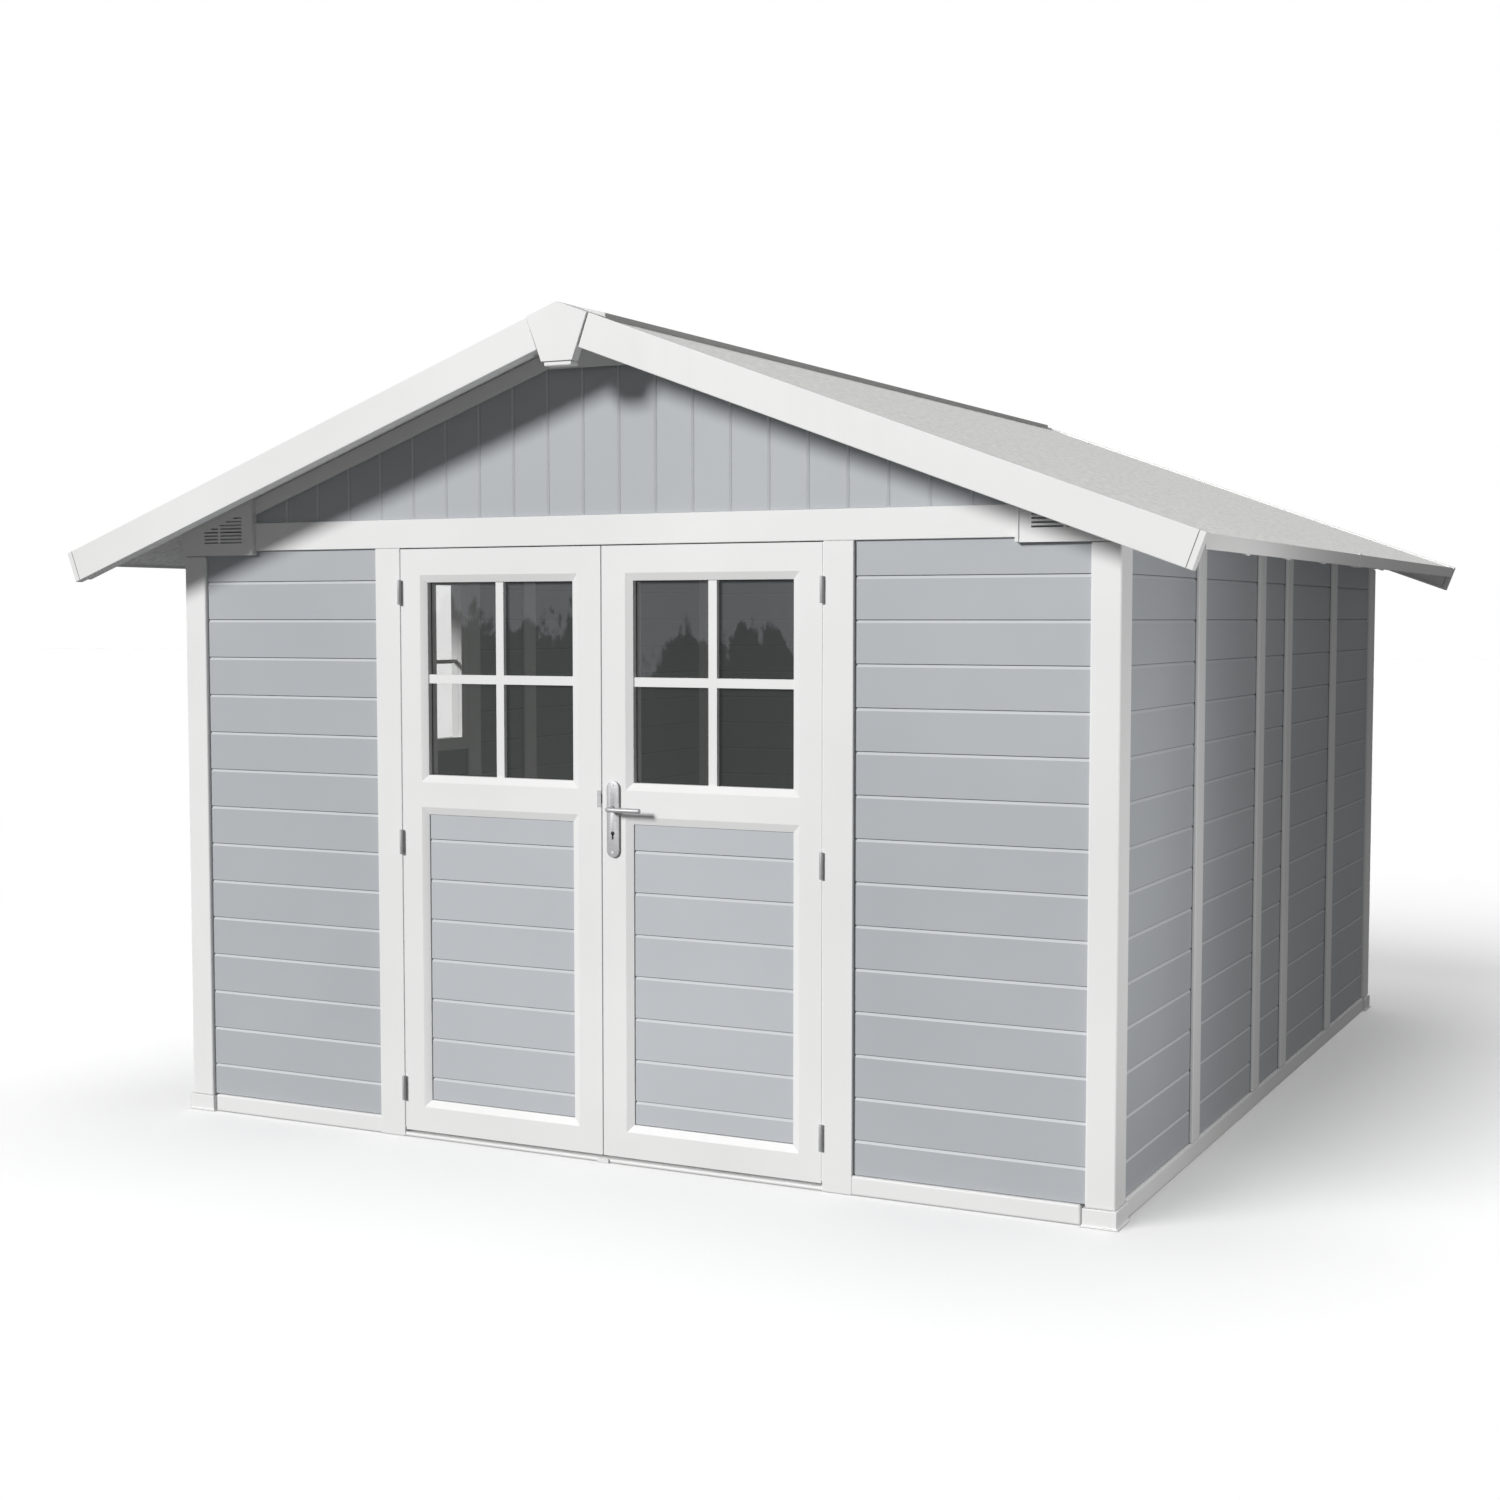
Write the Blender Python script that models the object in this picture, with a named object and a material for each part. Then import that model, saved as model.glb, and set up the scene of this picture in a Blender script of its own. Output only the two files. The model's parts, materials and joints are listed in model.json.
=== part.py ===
"""A plastic garden shed with a gable roof and a pair of glazed doors.

Metres, +Z up. The origin is the middle of the floor, and the doors face -Y.
"Depth" is always measured inwards from the outer plane of the posts.
"""

import math

import bmesh
import bpy
from mathutils import Matrix, Vector

# Whole building
WALL_WIDTH = 3.155
WALL_DEPTH = 3.62
CLEARANCE = 0.0005

# Doors
DOORWAY_WIDTH = 1.44
LEAF_HEIGHT = 1.8162
LEAF_BOTTOM = 0.0225
LEAF_THICKNESS = 0.055
LEAF_SETBACK = 0.002
LEAF_EDGE_GAP = 0.0035
LEAF_TOP_GAP = 0.0033
MEETING_GAP = 0.004
HINGE_STILE = 0.0695
MEETING_STILE = 0.079
TOP_RAIL = 0.0801
BOTTOM_RAIL = 0.0775
MIDDLE_RAIL_CENTRE = 1.0583
MIDDLE_RAIL = 0.0775
MOULDING_WIDTH = 0.0225
MOULDING_DEPTH = 0.009
GLAZING_BAR = 0.0275
GLAZING_BAR_DEPTH = 0.013
GLAZING_BAR_THICKNESS = 0.0145
GLASS_DEPTH = 0.029
GLASS_THICKNESS = 0.005
DOOR_BOARD_PITCH = 0.1247
DOOR_PANEL_RECESS = 0.004
DOOR_PANEL_THICKNESS = 0.024

# Hinges
HINGE_RADIUS = 0.0058
HINGE_STANDOFF = 0.001
HINGE_LENGTH = 0.076
HINGE_TAIL = 0.030
HINGE_TAIL_THICKNESS = 0.0015
HINGE_INSET = 0.1325

# Handle and latch
HANDLE_HEIGHT = 1.065
HANDLE_BACKSET = 0.0395
PLATE_WIDTH = 0.041
PLATE_HEIGHT = 0.227
PLATE_THICKNESS = 0.008
PLATE_ABOVE_HANDLE = 0.082
LEVER_RADIUS = 0.0075
LEVER_REACH = 0.050
LEVER_LENGTH = 0.115
SPINDLE_RADIUS = 0.0045
SPINDLE_HOLE_RADIUS = 0.0075
LATCH_HEIGHT = 0.024
LATCH_THICKNESS = 0.012
LATCH_LENGTH = 0.034
LATCH_THROW = 0.011
LATCH_DEPTH = 0.022
LATCH_ABOVE_HANDLE = 0.027
LATCH_CLEARANCE = 0.002

# Wall framing
CORNER_WIDTH = 0.085
CORNER_DEPTH = 0.100
POST_WIDTH = 0.085
JAMB_WIDTH = 0.0925
NARROW_BAY = 0.325
FRAME_DEPTH = 0.050
BASE_RAIL_HEIGHT = 0.056
BASE_RAIL_SETBACK = 0.001
THRESHOLD_HEIGHT = 0.0135
FOOT_HEIGHT = 0.050
FOOT_PROUD = 0.003
FLANGE_PROUD = 0.011
FLANGE_THICKNESS = 0.004
HEADER_HEIGHT = 0.088
WALL_TOP_ABOVE_HEADER = 0.0593

# Cladding boards
BOARD_PITCH = 0.122
FIRST_JOINT = 0.1573
BOARD_RECESS = 0.0115
BOARD_THICKNESS = 0.026
GROOVE_DEPTH = 0.0045
GROOVE_CHAMFER = 0.0085

# Side window, in the second bay of the left wall
WINDOW_SILL = 1.115
WINDOW_HEAD_DROP = 0.042
WINDOW_RIM = 0.046
WINDOW_BAR = 0.015
WINDOW_BAR_DEPTH = 0.014
WINDOW_BAR_THICKNESS = 0.012
WINDOW_GLASS_DEPTH = 0.030
WINDOW_MARGIN = 0.003

# Roof
SLOPE = 0.367
ROOF_THICKNESS = 0.030
ROOF_BELOW_TRIM = 0.006
EAVES_OVERHANG = 0.2625
GABLE_OVERHANG = 0.235
BARGEBOARD_HEIGHT = 0.100
BARGEBOARD_THICKNESS = 0.030
BARGEBOARD_PAST_EAVE = 0.020
FASCIA_HEIGHT = 0.040
FASCIA_THICKNESS = 0.010
CAP_HALF_WIDTH = 0.105
KEY_HALF_WIDTH = 0.100
KEY_FOOT_HALF_WIDTH = 0.051
KEY_HEIGHT = 0.1666
KEY_PROUD = 0.005
KEY_SADDLE = 0.060
RIDGE_BEAM_WIDTH = 0.060
RIDGE_BEAM_HEIGHT = 0.120

# Vent covers at the front corners
VENT_WIDTH = 0.2915
VENT_PROUD = 0.010
VENT_BELOW_HEADER = 0.014
VENT_SLOT_ROWS = 8
VENT_SLOT_PITCH = 0.0112
VENT_SLOT_HEIGHT = 0.005
VENT_FIRST_SLOT = 0.041
VENT_SLOT_COLUMNS = ((0.0925, 0.1495), (0.1575, 0.2465))
VENT_SLOT_MARGIN = 0.032
VENT_SHORTEST_SLOT = 0.012

# Places that follow from the sizes above
SIDE = WALL_WIDTH / 2
FRONT = -WALL_DEPTH / 2
REAR = WALL_DEPTH / 2
DOORWAY_HALF = DOORWAY_WIDTH / 2
LEAF_TOP = LEAF_BOTTOM + LEAF_HEIGHT
HEADER_BOTTOM = LEAF_TOP + LEAF_TOP_GAP
HEADER_TOP = HEADER_BOTTOM + HEADER_HEIGHT
WALL_TOP = HEADER_BOTTOM + WALL_TOP_ABOVE_HEADER
VENT_BOTTOM = HEADER_BOTTOM - VENT_BELOW_HEADER
BOARD_BACK = BOARD_RECESS + BOARD_THICKNESS
POST_BACK = BOARD_RECESS - CLEARANCE
RAIL_TOP = BASE_RAIL_HEIGHT + CLEARANCE
SLOPE_COS = 1 / math.hypot(1, SLOPE)
RIDGE_UNDERSIDE = WALL_TOP + SLOPE * SIDE
RIDGE_SURFACE = RIDGE_UNDERSIDE + ROOF_THICKNESS / SLOPE_COS
RIDGE_TRIM = RIDGE_SURFACE + ROOF_BELOW_TRIM / SLOPE_COS
ROOF_EDGE = SIDE + EAVES_OVERHANG
ROOF_FRONT = WALL_DEPTH / 2 + GABLE_OVERHANG
HINGE_X = DOORWAY_HALF - LEAF_EDGE_GAP / 3
HINGE_Y = FRONT - HINGE_STANDOFF - HINGE_RADIUS
LEAF_FACE = FRONT + LEAF_SETBACK
LEAF_BACK = LEAF_FACE + LEAF_THICKNESS
LEAF_EDGE = DOORWAY_HALF - LEAF_EDGE_GAP
HANDLE_X = MEETING_GAP / 2 + HANDLE_BACKSET
LATCH_Z = HANDLE_HEIGHT + LATCH_ABOVE_HANDLE

# Where an outline point (a, b) and a place t along the sweep go, for each sweep direction
SWEEP = {
    "X": lambda a, b, t: Vector((t, a, b)),
    "Y": lambda a, b, t: Vector((a, t, b)),
    "Z": lambda a, b, t: Vector((a, b, t)),
}


# ---------------------------------------------------------------- helpers


def clear_scene():
    for obj in list(bpy.data.objects):
        bpy.data.objects.remove(obj, do_unlink=True)


def finish_material(name, colour, roughness, metallic=0.0, alpha=1.0):
    """A plain finish: base colour, roughness and metallic value."""
    material = bpy.data.materials.new(name)
    material.use_nodes = True
    shader = material.node_tree.nodes["Principled BSDF"]
    shader.inputs["Base Color"].default_value = (*colour, 1.0)
    shader.inputs["Roughness"].default_value = roughness
    shader.inputs["Metallic"].default_value = metallic
    shader.inputs["Alpha"].default_value = alpha
    return material


def add_object(name, bm, material):
    """Turns a finished bmesh into a named object in the scene."""
    bmesh.ops.recalc_face_normals(bm, faces=bm.faces[:])
    mesh = bpy.data.meshes.new(name)
    bm.to_mesh(mesh)
    bm.free()
    mesh.materials.append(material)
    obj = bpy.data.objects.new(name, mesh)
    bpy.context.scene.collection.objects.link(obj)
    return obj


def add_block(bm, low, high):
    """A box from its lowest to its highest corner, added to a bmesh."""
    size = Vector(high) - Vector(low)
    middle = (Vector(high) + Vector(low)) / 2
    cube = bmesh.ops.create_cube(bm, size=1.0)
    bmesh.ops.scale(bm, verts=cube["verts"], vec=size)
    bmesh.ops.translate(bm, verts=cube["verts"], vec=middle)


def block(name, low, high, material):
    bm = bmesh.new()
    add_block(bm, low, high)
    return add_object(name, bm, material)


def prism(name, outline, direction, start, end, material):
    """An outline swept straight from start to end along X, Y or Z."""
    bm = bmesh.new()
    place = SWEEP[direction]
    corners = [bm.verts.new(place(a, b, start)) for a, b in outline]
    face = bm.faces.new(corners)
    swept = bmesh.ops.extrude_face_region(bm, geom=[face])
    moved = [item for item in swept["geom"] if isinstance(item, bmesh.types.BMVert)]
    bmesh.ops.translate(bm, verts=moved, vec=place(0, 0, end - start))
    return add_object(name, bm, material)


def boolean(obj, other, operation):
    """Cuts, joins or trims obj with a helper, which is hidden."""
    modifier = obj.modifiers.new(other.name, "BOOLEAN")
    modifier.operation = operation
    modifier.object = other
    other.hide_render = True
    other.display_type = "WIRE"


def round_end(centre, radius, first_degree, last_degree, steps):
    """Points along an arc of an outline, both ends included."""
    points = []
    for step in range(steps + 1):
        angle = math.radians(first_degree + (last_degree - first_degree) * step / steps)
        points.append((centre[0] + radius * math.cos(angle), centre[1] + radius * math.sin(angle)))
    return points


def joints_between(bottom, top, first, pitch):
    """Places of the board joints that lie between bottom and top."""
    lowest = math.ceil((bottom + GROOVE_CHAMFER + CLEARANCE - first) / pitch)
    highest = math.floor((top - CLEARANCE - first) / pitch)
    return [first + pitch * count for count in range(lowest, highest + 1)]


def board_outline(bottom, top, joints, face, back):
    """Edge view of a run of boards, as (depth, place) points with a groove at each joint."""
    outline = [(back, bottom), (face, bottom)]
    for joint in joints:
        outline += [(face, joint - GROOVE_CHAMFER), (face + GROOVE_DEPTH, joint), (face, joint)]
    return outline + [(face, top), (back, top)]


def under_roof(x):
    """Height of the roof's underside above a place x."""
    return RIDGE_UNDERSIDE - SLOPE * abs(x)


def on_trim(x):
    """Height of the roof trim's upper edge above a place x."""
    return RIDGE_TRIM - SLOPE * abs(x)


def side_post_starts():
    """Distances from the front corner to each of the four side posts."""
    clear = WALL_DEPTH - 2 * CORNER_DEPTH - 4 * POST_WIDTH - NARROW_BAY
    bay = clear / 4
    starts = []
    place = CORNER_DEPTH
    for width in (bay, bay, NARROW_BAY, bay):
        place += width
        starts.append(place)
        place += POST_WIDTH
    return starts


def hang_on(empty_name, place, pieces):
    """Parents the pieces of a moving body to an empty on its joint's axis."""
    empty = bpy.data.objects.new(empty_name, None)
    empty.location = place
    bpy.context.scene.collection.objects.link(empty)
    for piece in pieces:
        piece.parent = empty
        piece.matrix_parent_inverse = Matrix.Translation(-Vector(place))


# ---------------------------------------------------------------- base and posts


def make_foot(name, side, end, white):
    """A corner foot: a floor flange with the cap that the post stands in."""
    wide = CORNER_WIDTH + 2 * FOOT_PROUD
    deep = CORNER_DEPTH + 2 * FOOT_PROUD
    spread = FLANGE_PROUD - FOOT_PROUD
    bm = bmesh.new()
    add_block(
        bm,
        (-wide / 2 - spread, -deep / 2 - spread, 0),
        (wide / 2 + spread, deep / 2 + spread, FLANGE_THICKNESS),
    )
    bm.faces.ensure_lookup_table()
    top = max(bm.faces, key=lambda face: face.calc_center_median().z)
    bmesh.ops.inset_region(bm, faces=[top], thickness=spread)
    raised = bmesh.ops.extrude_face_region(bm, geom=[top])
    bm.faces.remove(top)
    verts = [item for item in raised["geom"] if isinstance(item, bmesh.types.BMVert)]
    bmesh.ops.translate(bm, verts=verts, vec=(0, 0, FOOT_HEIGHT - FLANGE_THICKNESS))
    centre_x = side * (SIDE - CORNER_WIDTH / 2)
    centre_y = end * (WALL_DEPTH / 2 - CORNER_DEPTH / 2)
    bmesh.ops.translate(bm, verts=bm.verts[:], vec=(centre_x, centre_y, 0))
    return add_object(name, bm, white)


def make_front_base_rail(white):
    """Base rail of the front wall, low where it is the doors' threshold."""
    reach = SIDE - CORNER_WIDTH - FLANGE_PROUD - CLEARANCE
    outline = [
        (-reach, 0),
        (reach, 0),
        (reach, BASE_RAIL_HEIGHT),
        (DOORWAY_HALF, BASE_RAIL_HEIGHT),
        (DOORWAY_HALF, THRESHOLD_HEIGHT),
        (-DOORWAY_HALF, THRESHOLD_HEIGHT),
        (-DOORWAY_HALF, BASE_RAIL_HEIGHT),
        (-reach, BASE_RAIL_HEIGHT),
    ]
    near = FRONT + BASE_RAIL_SETBACK
    return prism("front_base_rail", outline, "Y", near, FRONT + FRAME_DEPTH, white)


def make_rear_base_rail(white):
    """Base rail of the rear wall, joined to the two rear feet."""
    reach = SIDE - CORNER_WIDTH - CLEARANCE
    low = (-reach, REAR - FRAME_DEPTH, 0)
    high = (reach, REAR - BASE_RAIL_SETBACK, BASE_RAIL_HEIGHT)
    rail = block("rear_base_rail", low, high, white)
    for side_name, side in (("left", -1), ("right", 1)):
        boolean(rail, make_foot(f"rear_{side_name}_foot", side, 1, white), "UNION")
    return rail


def make_side_base_rail(name, side, white):
    reach = WALL_DEPTH / 2 - CORNER_DEPTH - FLANGE_PROUD - CLEARANCE
    near, far = sorted((side * (SIDE - BASE_RAIL_SETBACK), side * (SIDE - FRAME_DEPTH)))
    return block(name, (near, -reach, 0), (far, reach, BASE_RAIL_HEIGHT), white)


def make_front_corner_post(name, side, white):
    """A front corner post, stepped back at the top for the vent cover."""
    top = under_roof(SIDE) - 4 * CLEARANCE
    step = BOARD_RECESS + CLEARANCE
    outline = [
        (FRONT, FOOT_HEIGHT + CLEARANCE),
        (FRONT + CORNER_DEPTH, FOOT_HEIGHT + CLEARANCE),
        (FRONT + CORNER_DEPTH, top),
        (FRONT + step, top),
        (FRONT + step, VENT_BOTTOM - CLEARANCE),
        (FRONT, VENT_BOTTOM - CLEARANCE),
    ]
    return prism(name, outline, "X", side * (SIDE - CORNER_WIDTH), side * SIDE, white)


def make_rear_corner_post(name, side, white):
    """A rear corner post, stepped at the top for the rear gable."""
    top = under_roof(SIDE) - 4 * CLEARANCE
    step = FRAME_DEPTH + CLEARANCE
    outline = [
        (REAR, FOOT_HEIGHT + CLEARANCE),
        (REAR, VENT_BOTTOM - CLEARANCE),
        (REAR - step, VENT_BOTTOM - CLEARANCE),
        (REAR - step, top),
        (REAR - CORNER_DEPTH, top),
        (REAR - CORNER_DEPTH, FOOT_HEIGHT + CLEARANCE),
    ]
    return prism(name, outline, "X", side * (SIDE - CORNER_WIDTH), side * SIDE, white)


def make_side_posts(side_name, side, white):
    """The four cover posts of a side wall."""
    top = under_roof(SIDE) - 4 * CLEARANCE
    near, far = sorted((side * SIDE, side * (SIDE - POST_BACK)))
    for count, start in enumerate(side_post_starts(), 1):
        low = (near, FRONT + start, RAIL_TOP)
        high = (far, FRONT + start + POST_WIDTH, top)
        block(f"{side_name}_post_{count}", low, high, white)


def make_jamb(name, side, white):
    """A door jamb, standing on the front base rail."""
    near, far = sorted((side * DOORWAY_HALF, side * (DOORWAY_HALF + JAMB_WIDTH)))
    low = (near, FRONT, RAIL_TOP)
    high = (far, FRONT + FRAME_DEPTH, HEADER_BOTTOM - CLEARANCE)
    return block(name, low, high, white)


def make_front_header(white):
    """The lintel over the doors, running between the vent covers."""
    reach = SIDE - VENT_WIDTH - CLEARANCE
    low = (-reach, FRONT, HEADER_BOTTOM)
    high = (reach, FRONT + FRAME_DEPTH, HEADER_TOP)
    return block("front_header", low, high, white)


# ---------------------------------------------------------------- walls


def make_front_wall(name, side, cladding):
    """Cladding between a jamb and a front corner post."""
    top = HEADER_BOTTOM - CLEARANCE
    joints = joints_between(RAIL_TOP, top, FIRST_JOINT, BOARD_PITCH)
    outline = board_outline(RAIL_TOP, top, joints, BOARD_RECESS, BOARD_BACK)
    outline = [(FRONT + depth, height) for depth, height in outline]
    near = side * (DOORWAY_HALF + JAMB_WIDTH + CLEARANCE)
    far = side * (SIDE - CORNER_WIDTH - CLEARANCE)
    return prism(name, outline, "X", near, far, cladding)


def make_side_wall(name, side, cladding):
    """Cladding of a whole side, passing behind the cover posts."""
    top = under_roof(SIDE) - 4 * CLEARANCE
    joints = joints_between(RAIL_TOP, top, FIRST_JOINT, BOARD_PITCH)
    outline = board_outline(RAIL_TOP, top, joints, BOARD_RECESS, BOARD_BACK)
    outline = [(side * (SIDE - depth), height) for depth, height in outline]
    reach = WALL_DEPTH / 2 - CORNER_DEPTH - CLEARANCE
    return prism(name, outline, "Y", -reach, reach, cladding)


def make_rear_wall(cladding):
    """Cladding of the rear, joined to its three cover posts."""
    top = VENT_BOTTOM - CLEARANCE
    joints = joints_between(RAIL_TOP, top, FIRST_JOINT, BOARD_PITCH)
    outline = board_outline(RAIL_TOP, top, joints, BOARD_RECESS, BOARD_BACK)
    outline = [(REAR - depth, height) for depth, height in outline]
    reach = SIDE - CORNER_WIDTH - CLEARANCE
    wall = prism("rear_wall", outline, "X", -reach, reach, cladding)
    bay = (2 * (SIDE - CORNER_WIDTH) - 3 * POST_WIDTH) / 4
    bm = bmesh.new()
    for count in (-1, 0, 1):
        middle = count * (bay + POST_WIDTH)
        low = (middle - POST_WIDTH / 2, REAR - BOARD_BACK + BOARD_THICKNESS / 2, RAIL_TOP)
        add_block(bm, low, (middle + POST_WIDTH / 2, REAR, top))
    boolean(wall, add_object("rear_wall_posts", bm, cladding), "UNION")
    return wall


def window_bay():
    """The near and far ends of the side window's bay, as places along Y."""
    starts = side_post_starts()
    near = FRONT + starts[0] + POST_WIDTH + WINDOW_MARGIN
    far = FRONT + starts[1] - WINDOW_MARGIN
    return near, far


def window_top():
    return HEADER_BOTTOM - WINDOW_HEAD_DROP


def make_side_window(wall, white, glass):
    """The fixed window: its frame, its pane, and its hole in the wall."""
    near, far = window_bay()
    top = window_top()
    hole = block(
        "side_window_hole",
        (-SIDE - CLEARANCE, near - CLEARANCE, WINDOW_SILL - CLEARANCE),
        (-SIDE + 2 * FRAME_DEPTH, far + CLEARANCE, top + CLEARANCE),
        white,
    )
    boolean(wall, hole, "DIFFERENCE")
    outer = -SIDE + LEAF_SETBACK
    frame = block(
        "side_window_frame",
        (outer, near, WINDOW_SILL),
        (-SIDE + FRAME_DEPTH, far, top),
        white,
    )
    clear_low = (near + WINDOW_RIM, WINDOW_SILL + WINDOW_RIM)
    clear_high = (far - WINDOW_RIM, top - WINDOW_RIM)
    light = block(
        "side_window_light",
        (-SIDE - FRAME_DEPTH, *clear_low),
        (-SIDE + 2 * FRAME_DEPTH, *clear_high),
        white,
    )
    boolean(frame, light, "DIFFERENCE")
    middle = (clear_low[1] + clear_high[1]) / 2
    bar = block(
        "side_window_bar",
        (-SIDE + WINDOW_BAR_DEPTH, clear_low[0] - WINDOW_RIM / 2, middle - WINDOW_BAR / 2),
        (
            -SIDE + WINDOW_BAR_DEPTH + WINDOW_BAR_THICKNESS,
            clear_high[0] + WINDOW_RIM / 2,
            middle + WINDOW_BAR / 2,
        ),
        white,
    )
    boolean(frame, bar, "UNION")
    block(
        "side_window_glass",
        (
            -SIDE + WINDOW_GLASS_DEPTH,
            clear_low[0] + CLEARANCE,
            clear_low[1] + CLEARANCE,
        ),
        (
            -SIDE + WINDOW_GLASS_DEPTH + GLASS_THICKNESS,
            clear_high[0] - CLEARANCE,
            clear_high[1] - CLEARANCE,
        ),
        glass,
    )


# ---------------------------------------------------------------- gables and vents


def gable_outline(reach, bottom):
    """The shape of a gable under the roof, as (x, height) points."""
    eave = under_roof(reach) - 2 * CLEARANCE
    peak = under_roof(0) - 2 * CLEARANCE
    return [(-reach, bottom), (reach, bottom), (reach, eave), (0, peak), (-reach, eave)]


def make_front_gable(cladding):
    """Upright boards over the header, trimmed to the roof's slope."""
    reach = SIDE - VENT_WIDTH - CLEARANCE
    bottom = HEADER_TOP + CLEARANCE
    joints = joints_between(-reach, reach, BOARD_PITCH / 2, BOARD_PITCH)
    outline = board_outline(-reach, reach, joints, BOARD_RECESS, BOARD_BACK)
    outline = [(place, FRONT + depth) for depth, place in outline]
    gable = prism("front_gable", outline, "Z", bottom, under_roof(0), cladding)
    shape = gable_outline(reach + CLEARANCE, bottom - BOARD_PITCH)
    near = FRONT - FRAME_DEPTH
    trim = prism("front_gable_shape", shape, "Y", near, FRONT + 2 * FRAME_DEPTH, cladding)
    boolean(gable, trim, "INTERSECT")
    return gable


def make_rear_gable(cladding):
    """The plain rear gable, with its header, over the whole rear wall."""
    shape = gable_outline(SIDE, VENT_BOTTOM)
    return prism("rear_gable", shape, "Y", REAR - FRAME_DEPTH, REAR, cladding)


def make_vent_cover(name, side, white):
    """A corner cover under the eave, with rows of vent slots through it."""
    inner = SIDE - VENT_WIDTH
    back = FRONT + POST_BACK
    shape = [
        (side * inner, VENT_BOTTOM),
        (side * SIDE, VENT_BOTTOM),
        (side * SIDE, under_roof(SIDE) - 2 * CLEARANCE),
        (side * inner, under_roof(inner) - 2 * CLEARANCE),
    ]
    cover = prism(name, shape, "Y", FRONT - VENT_PROUD, back, white)
    bm = bmesh.new()
    for row in range(VENT_SLOT_ROWS):
        height = VENT_BOTTOM + VENT_FIRST_SLOT + row * VENT_SLOT_PITCH
        limit = (RIDGE_UNDERSIDE - VENT_SLOT_MARGIN - height) / SLOPE
        for outer_inset, inner_inset in VENT_SLOT_COLUMNS:
            far = min(SIDE - outer_inset, limit)
            near = SIDE - inner_inset
            if far - near < VENT_SHORTEST_SLOT:
                continue
            left, right = sorted((side * near, side * far))
            low = (left, FRONT - 2 * VENT_PROUD, height - VENT_SLOT_HEIGHT / 2)
            high = (right, FRONT + FRAME_DEPTH, height + VENT_SLOT_HEIGHT / 2)
            add_block(bm, low, high)
    boolean(cover, add_object(f"{name}_slots", bm, white), "DIFFERENCE")
    return cover


# ---------------------------------------------------------------- roof


def make_roof_panel(name, side, roofing):
    """One slope of the roof, from the ridge to the eave."""
    near = CLEARANCE
    far = ROOF_EDGE
    thick = ROOF_THICKNESS / SLOPE_COS
    outline = [
        (side * near, under_roof(near)),
        (side * far, under_roof(far)),
        (side * far, under_roof(far) + thick),
        (side * near, under_roof(near) + thick),
    ]
    reach = ROOF_FRONT - BARGEBOARD_THICKNESS - CLEARANCE
    return prism(name, outline, "Y", -reach, reach, roofing)


def make_fascia(name, side, white):
    """The eave trim that closes the lower edge of a roof panel."""
    near, far = sorted(
        (side * (ROOF_EDGE + CLEARANCE), side * (ROOF_EDGE + CLEARANCE + FASCIA_THICKNESS))
    )
    top = under_roof(ROOF_EDGE) + ROOF_THICKNESS / SLOPE_COS - CLEARANCE
    reach = ROOF_FRONT - BARGEBOARD_THICKNESS - CLEARANCE
    return block(name, (near, -reach, top - FASCIA_HEIGHT), (far, reach, top), white)


def key_side(height):
    """Half-width of the key piece at a height."""
    top = on_trim(KEY_HALF_WIDTH)
    foot = on_trim(0) - KEY_HEIGHT
    share = (height - foot) / (top - foot)
    return KEY_FOOT_HALF_WIDTH + (KEY_HALF_WIDTH - KEY_FOOT_HALF_WIDTH) * share


def make_bargeboard(name, side, end, white):
    """A gable-end board that covers the end of a roof panel, cut square at the eave."""
    drop = BARGEBOARD_HEIGHT / SLOPE_COS
    tip = ROOF_EDGE + BARGEBOARD_PAST_EAVE
    inner_top = KEY_HALF_WIDTH + 4 * CLEARANCE
    inner_low = key_side(on_trim(KEY_FOOT_HALF_WIDTH) - drop) + 4 * CLEARANCE
    tip_low = tip - BARGEBOARD_HEIGHT * SLOPE * SLOPE_COS
    outline = [
        (side * inner_top, on_trim(inner_top)),
        (side * inner_low, on_trim(inner_low) - drop),
        (side * tip_low, on_trim(tip) - BARGEBOARD_HEIGHT * SLOPE_COS),
        (side * tip, on_trim(tip)),
    ]
    return prism(
        name, outline, "Y", end * ROOF_FRONT, end * (ROOF_FRONT - BARGEBOARD_THICKNESS), white
    )


def cap_outline(half_width, top):
    """Edge view of a bent strip that lies on the ridge."""
    lift = RIDGE_SURFACE + CLEARANCE
    return [
        (0, top),
        (half_width, top - SLOPE * half_width),
        (half_width, lift - SLOPE * half_width),
        (0, lift),
        (-half_width, lift - SLOPE * half_width),
        (-half_width, top - SLOPE * half_width),
    ]


def make_key_piece(name, end, white):
    """The five-sided piece at the top of a gable end, with a saddle over the ridge."""
    top = on_trim(0)
    shoulder = on_trim(KEY_HALF_WIDTH)
    outline = [
        (0, top),
        (KEY_HALF_WIDTH, shoulder),
        (KEY_FOOT_HALF_WIDTH, top - KEY_HEIGHT),
        (-KEY_FOOT_HALF_WIDTH, top - KEY_HEIGHT),
        (-KEY_HALF_WIDTH, shoulder),
    ]
    face = end * (ROOF_FRONT + KEY_PROUD)
    back = end * (ROOF_FRONT - BARGEBOARD_THICKNESS)
    key = prism(name, outline, "Y", face, back, white)
    saddle = prism(
        f"{name}_saddle",
        cap_outline(KEY_HALF_WIDTH, top),
        "Y",
        end * (ROOF_FRONT - BARGEBOARD_THICKNESS / 2),
        end * (ROOF_FRONT - BARGEBOARD_THICKNESS - KEY_SADDLE),
        white,
    )
    boolean(key, saddle, "UNION")
    return key


def make_ridge_cap(white):
    reach = ROOF_FRONT - BARGEBOARD_THICKNESS - KEY_SADDLE - CLEARANCE
    outline = cap_outline(CAP_HALF_WIDTH, on_trim(0) - 2 * CLEARANCE)
    return prism("ridge_cap", outline, "Y", -reach, reach, white)


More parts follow.
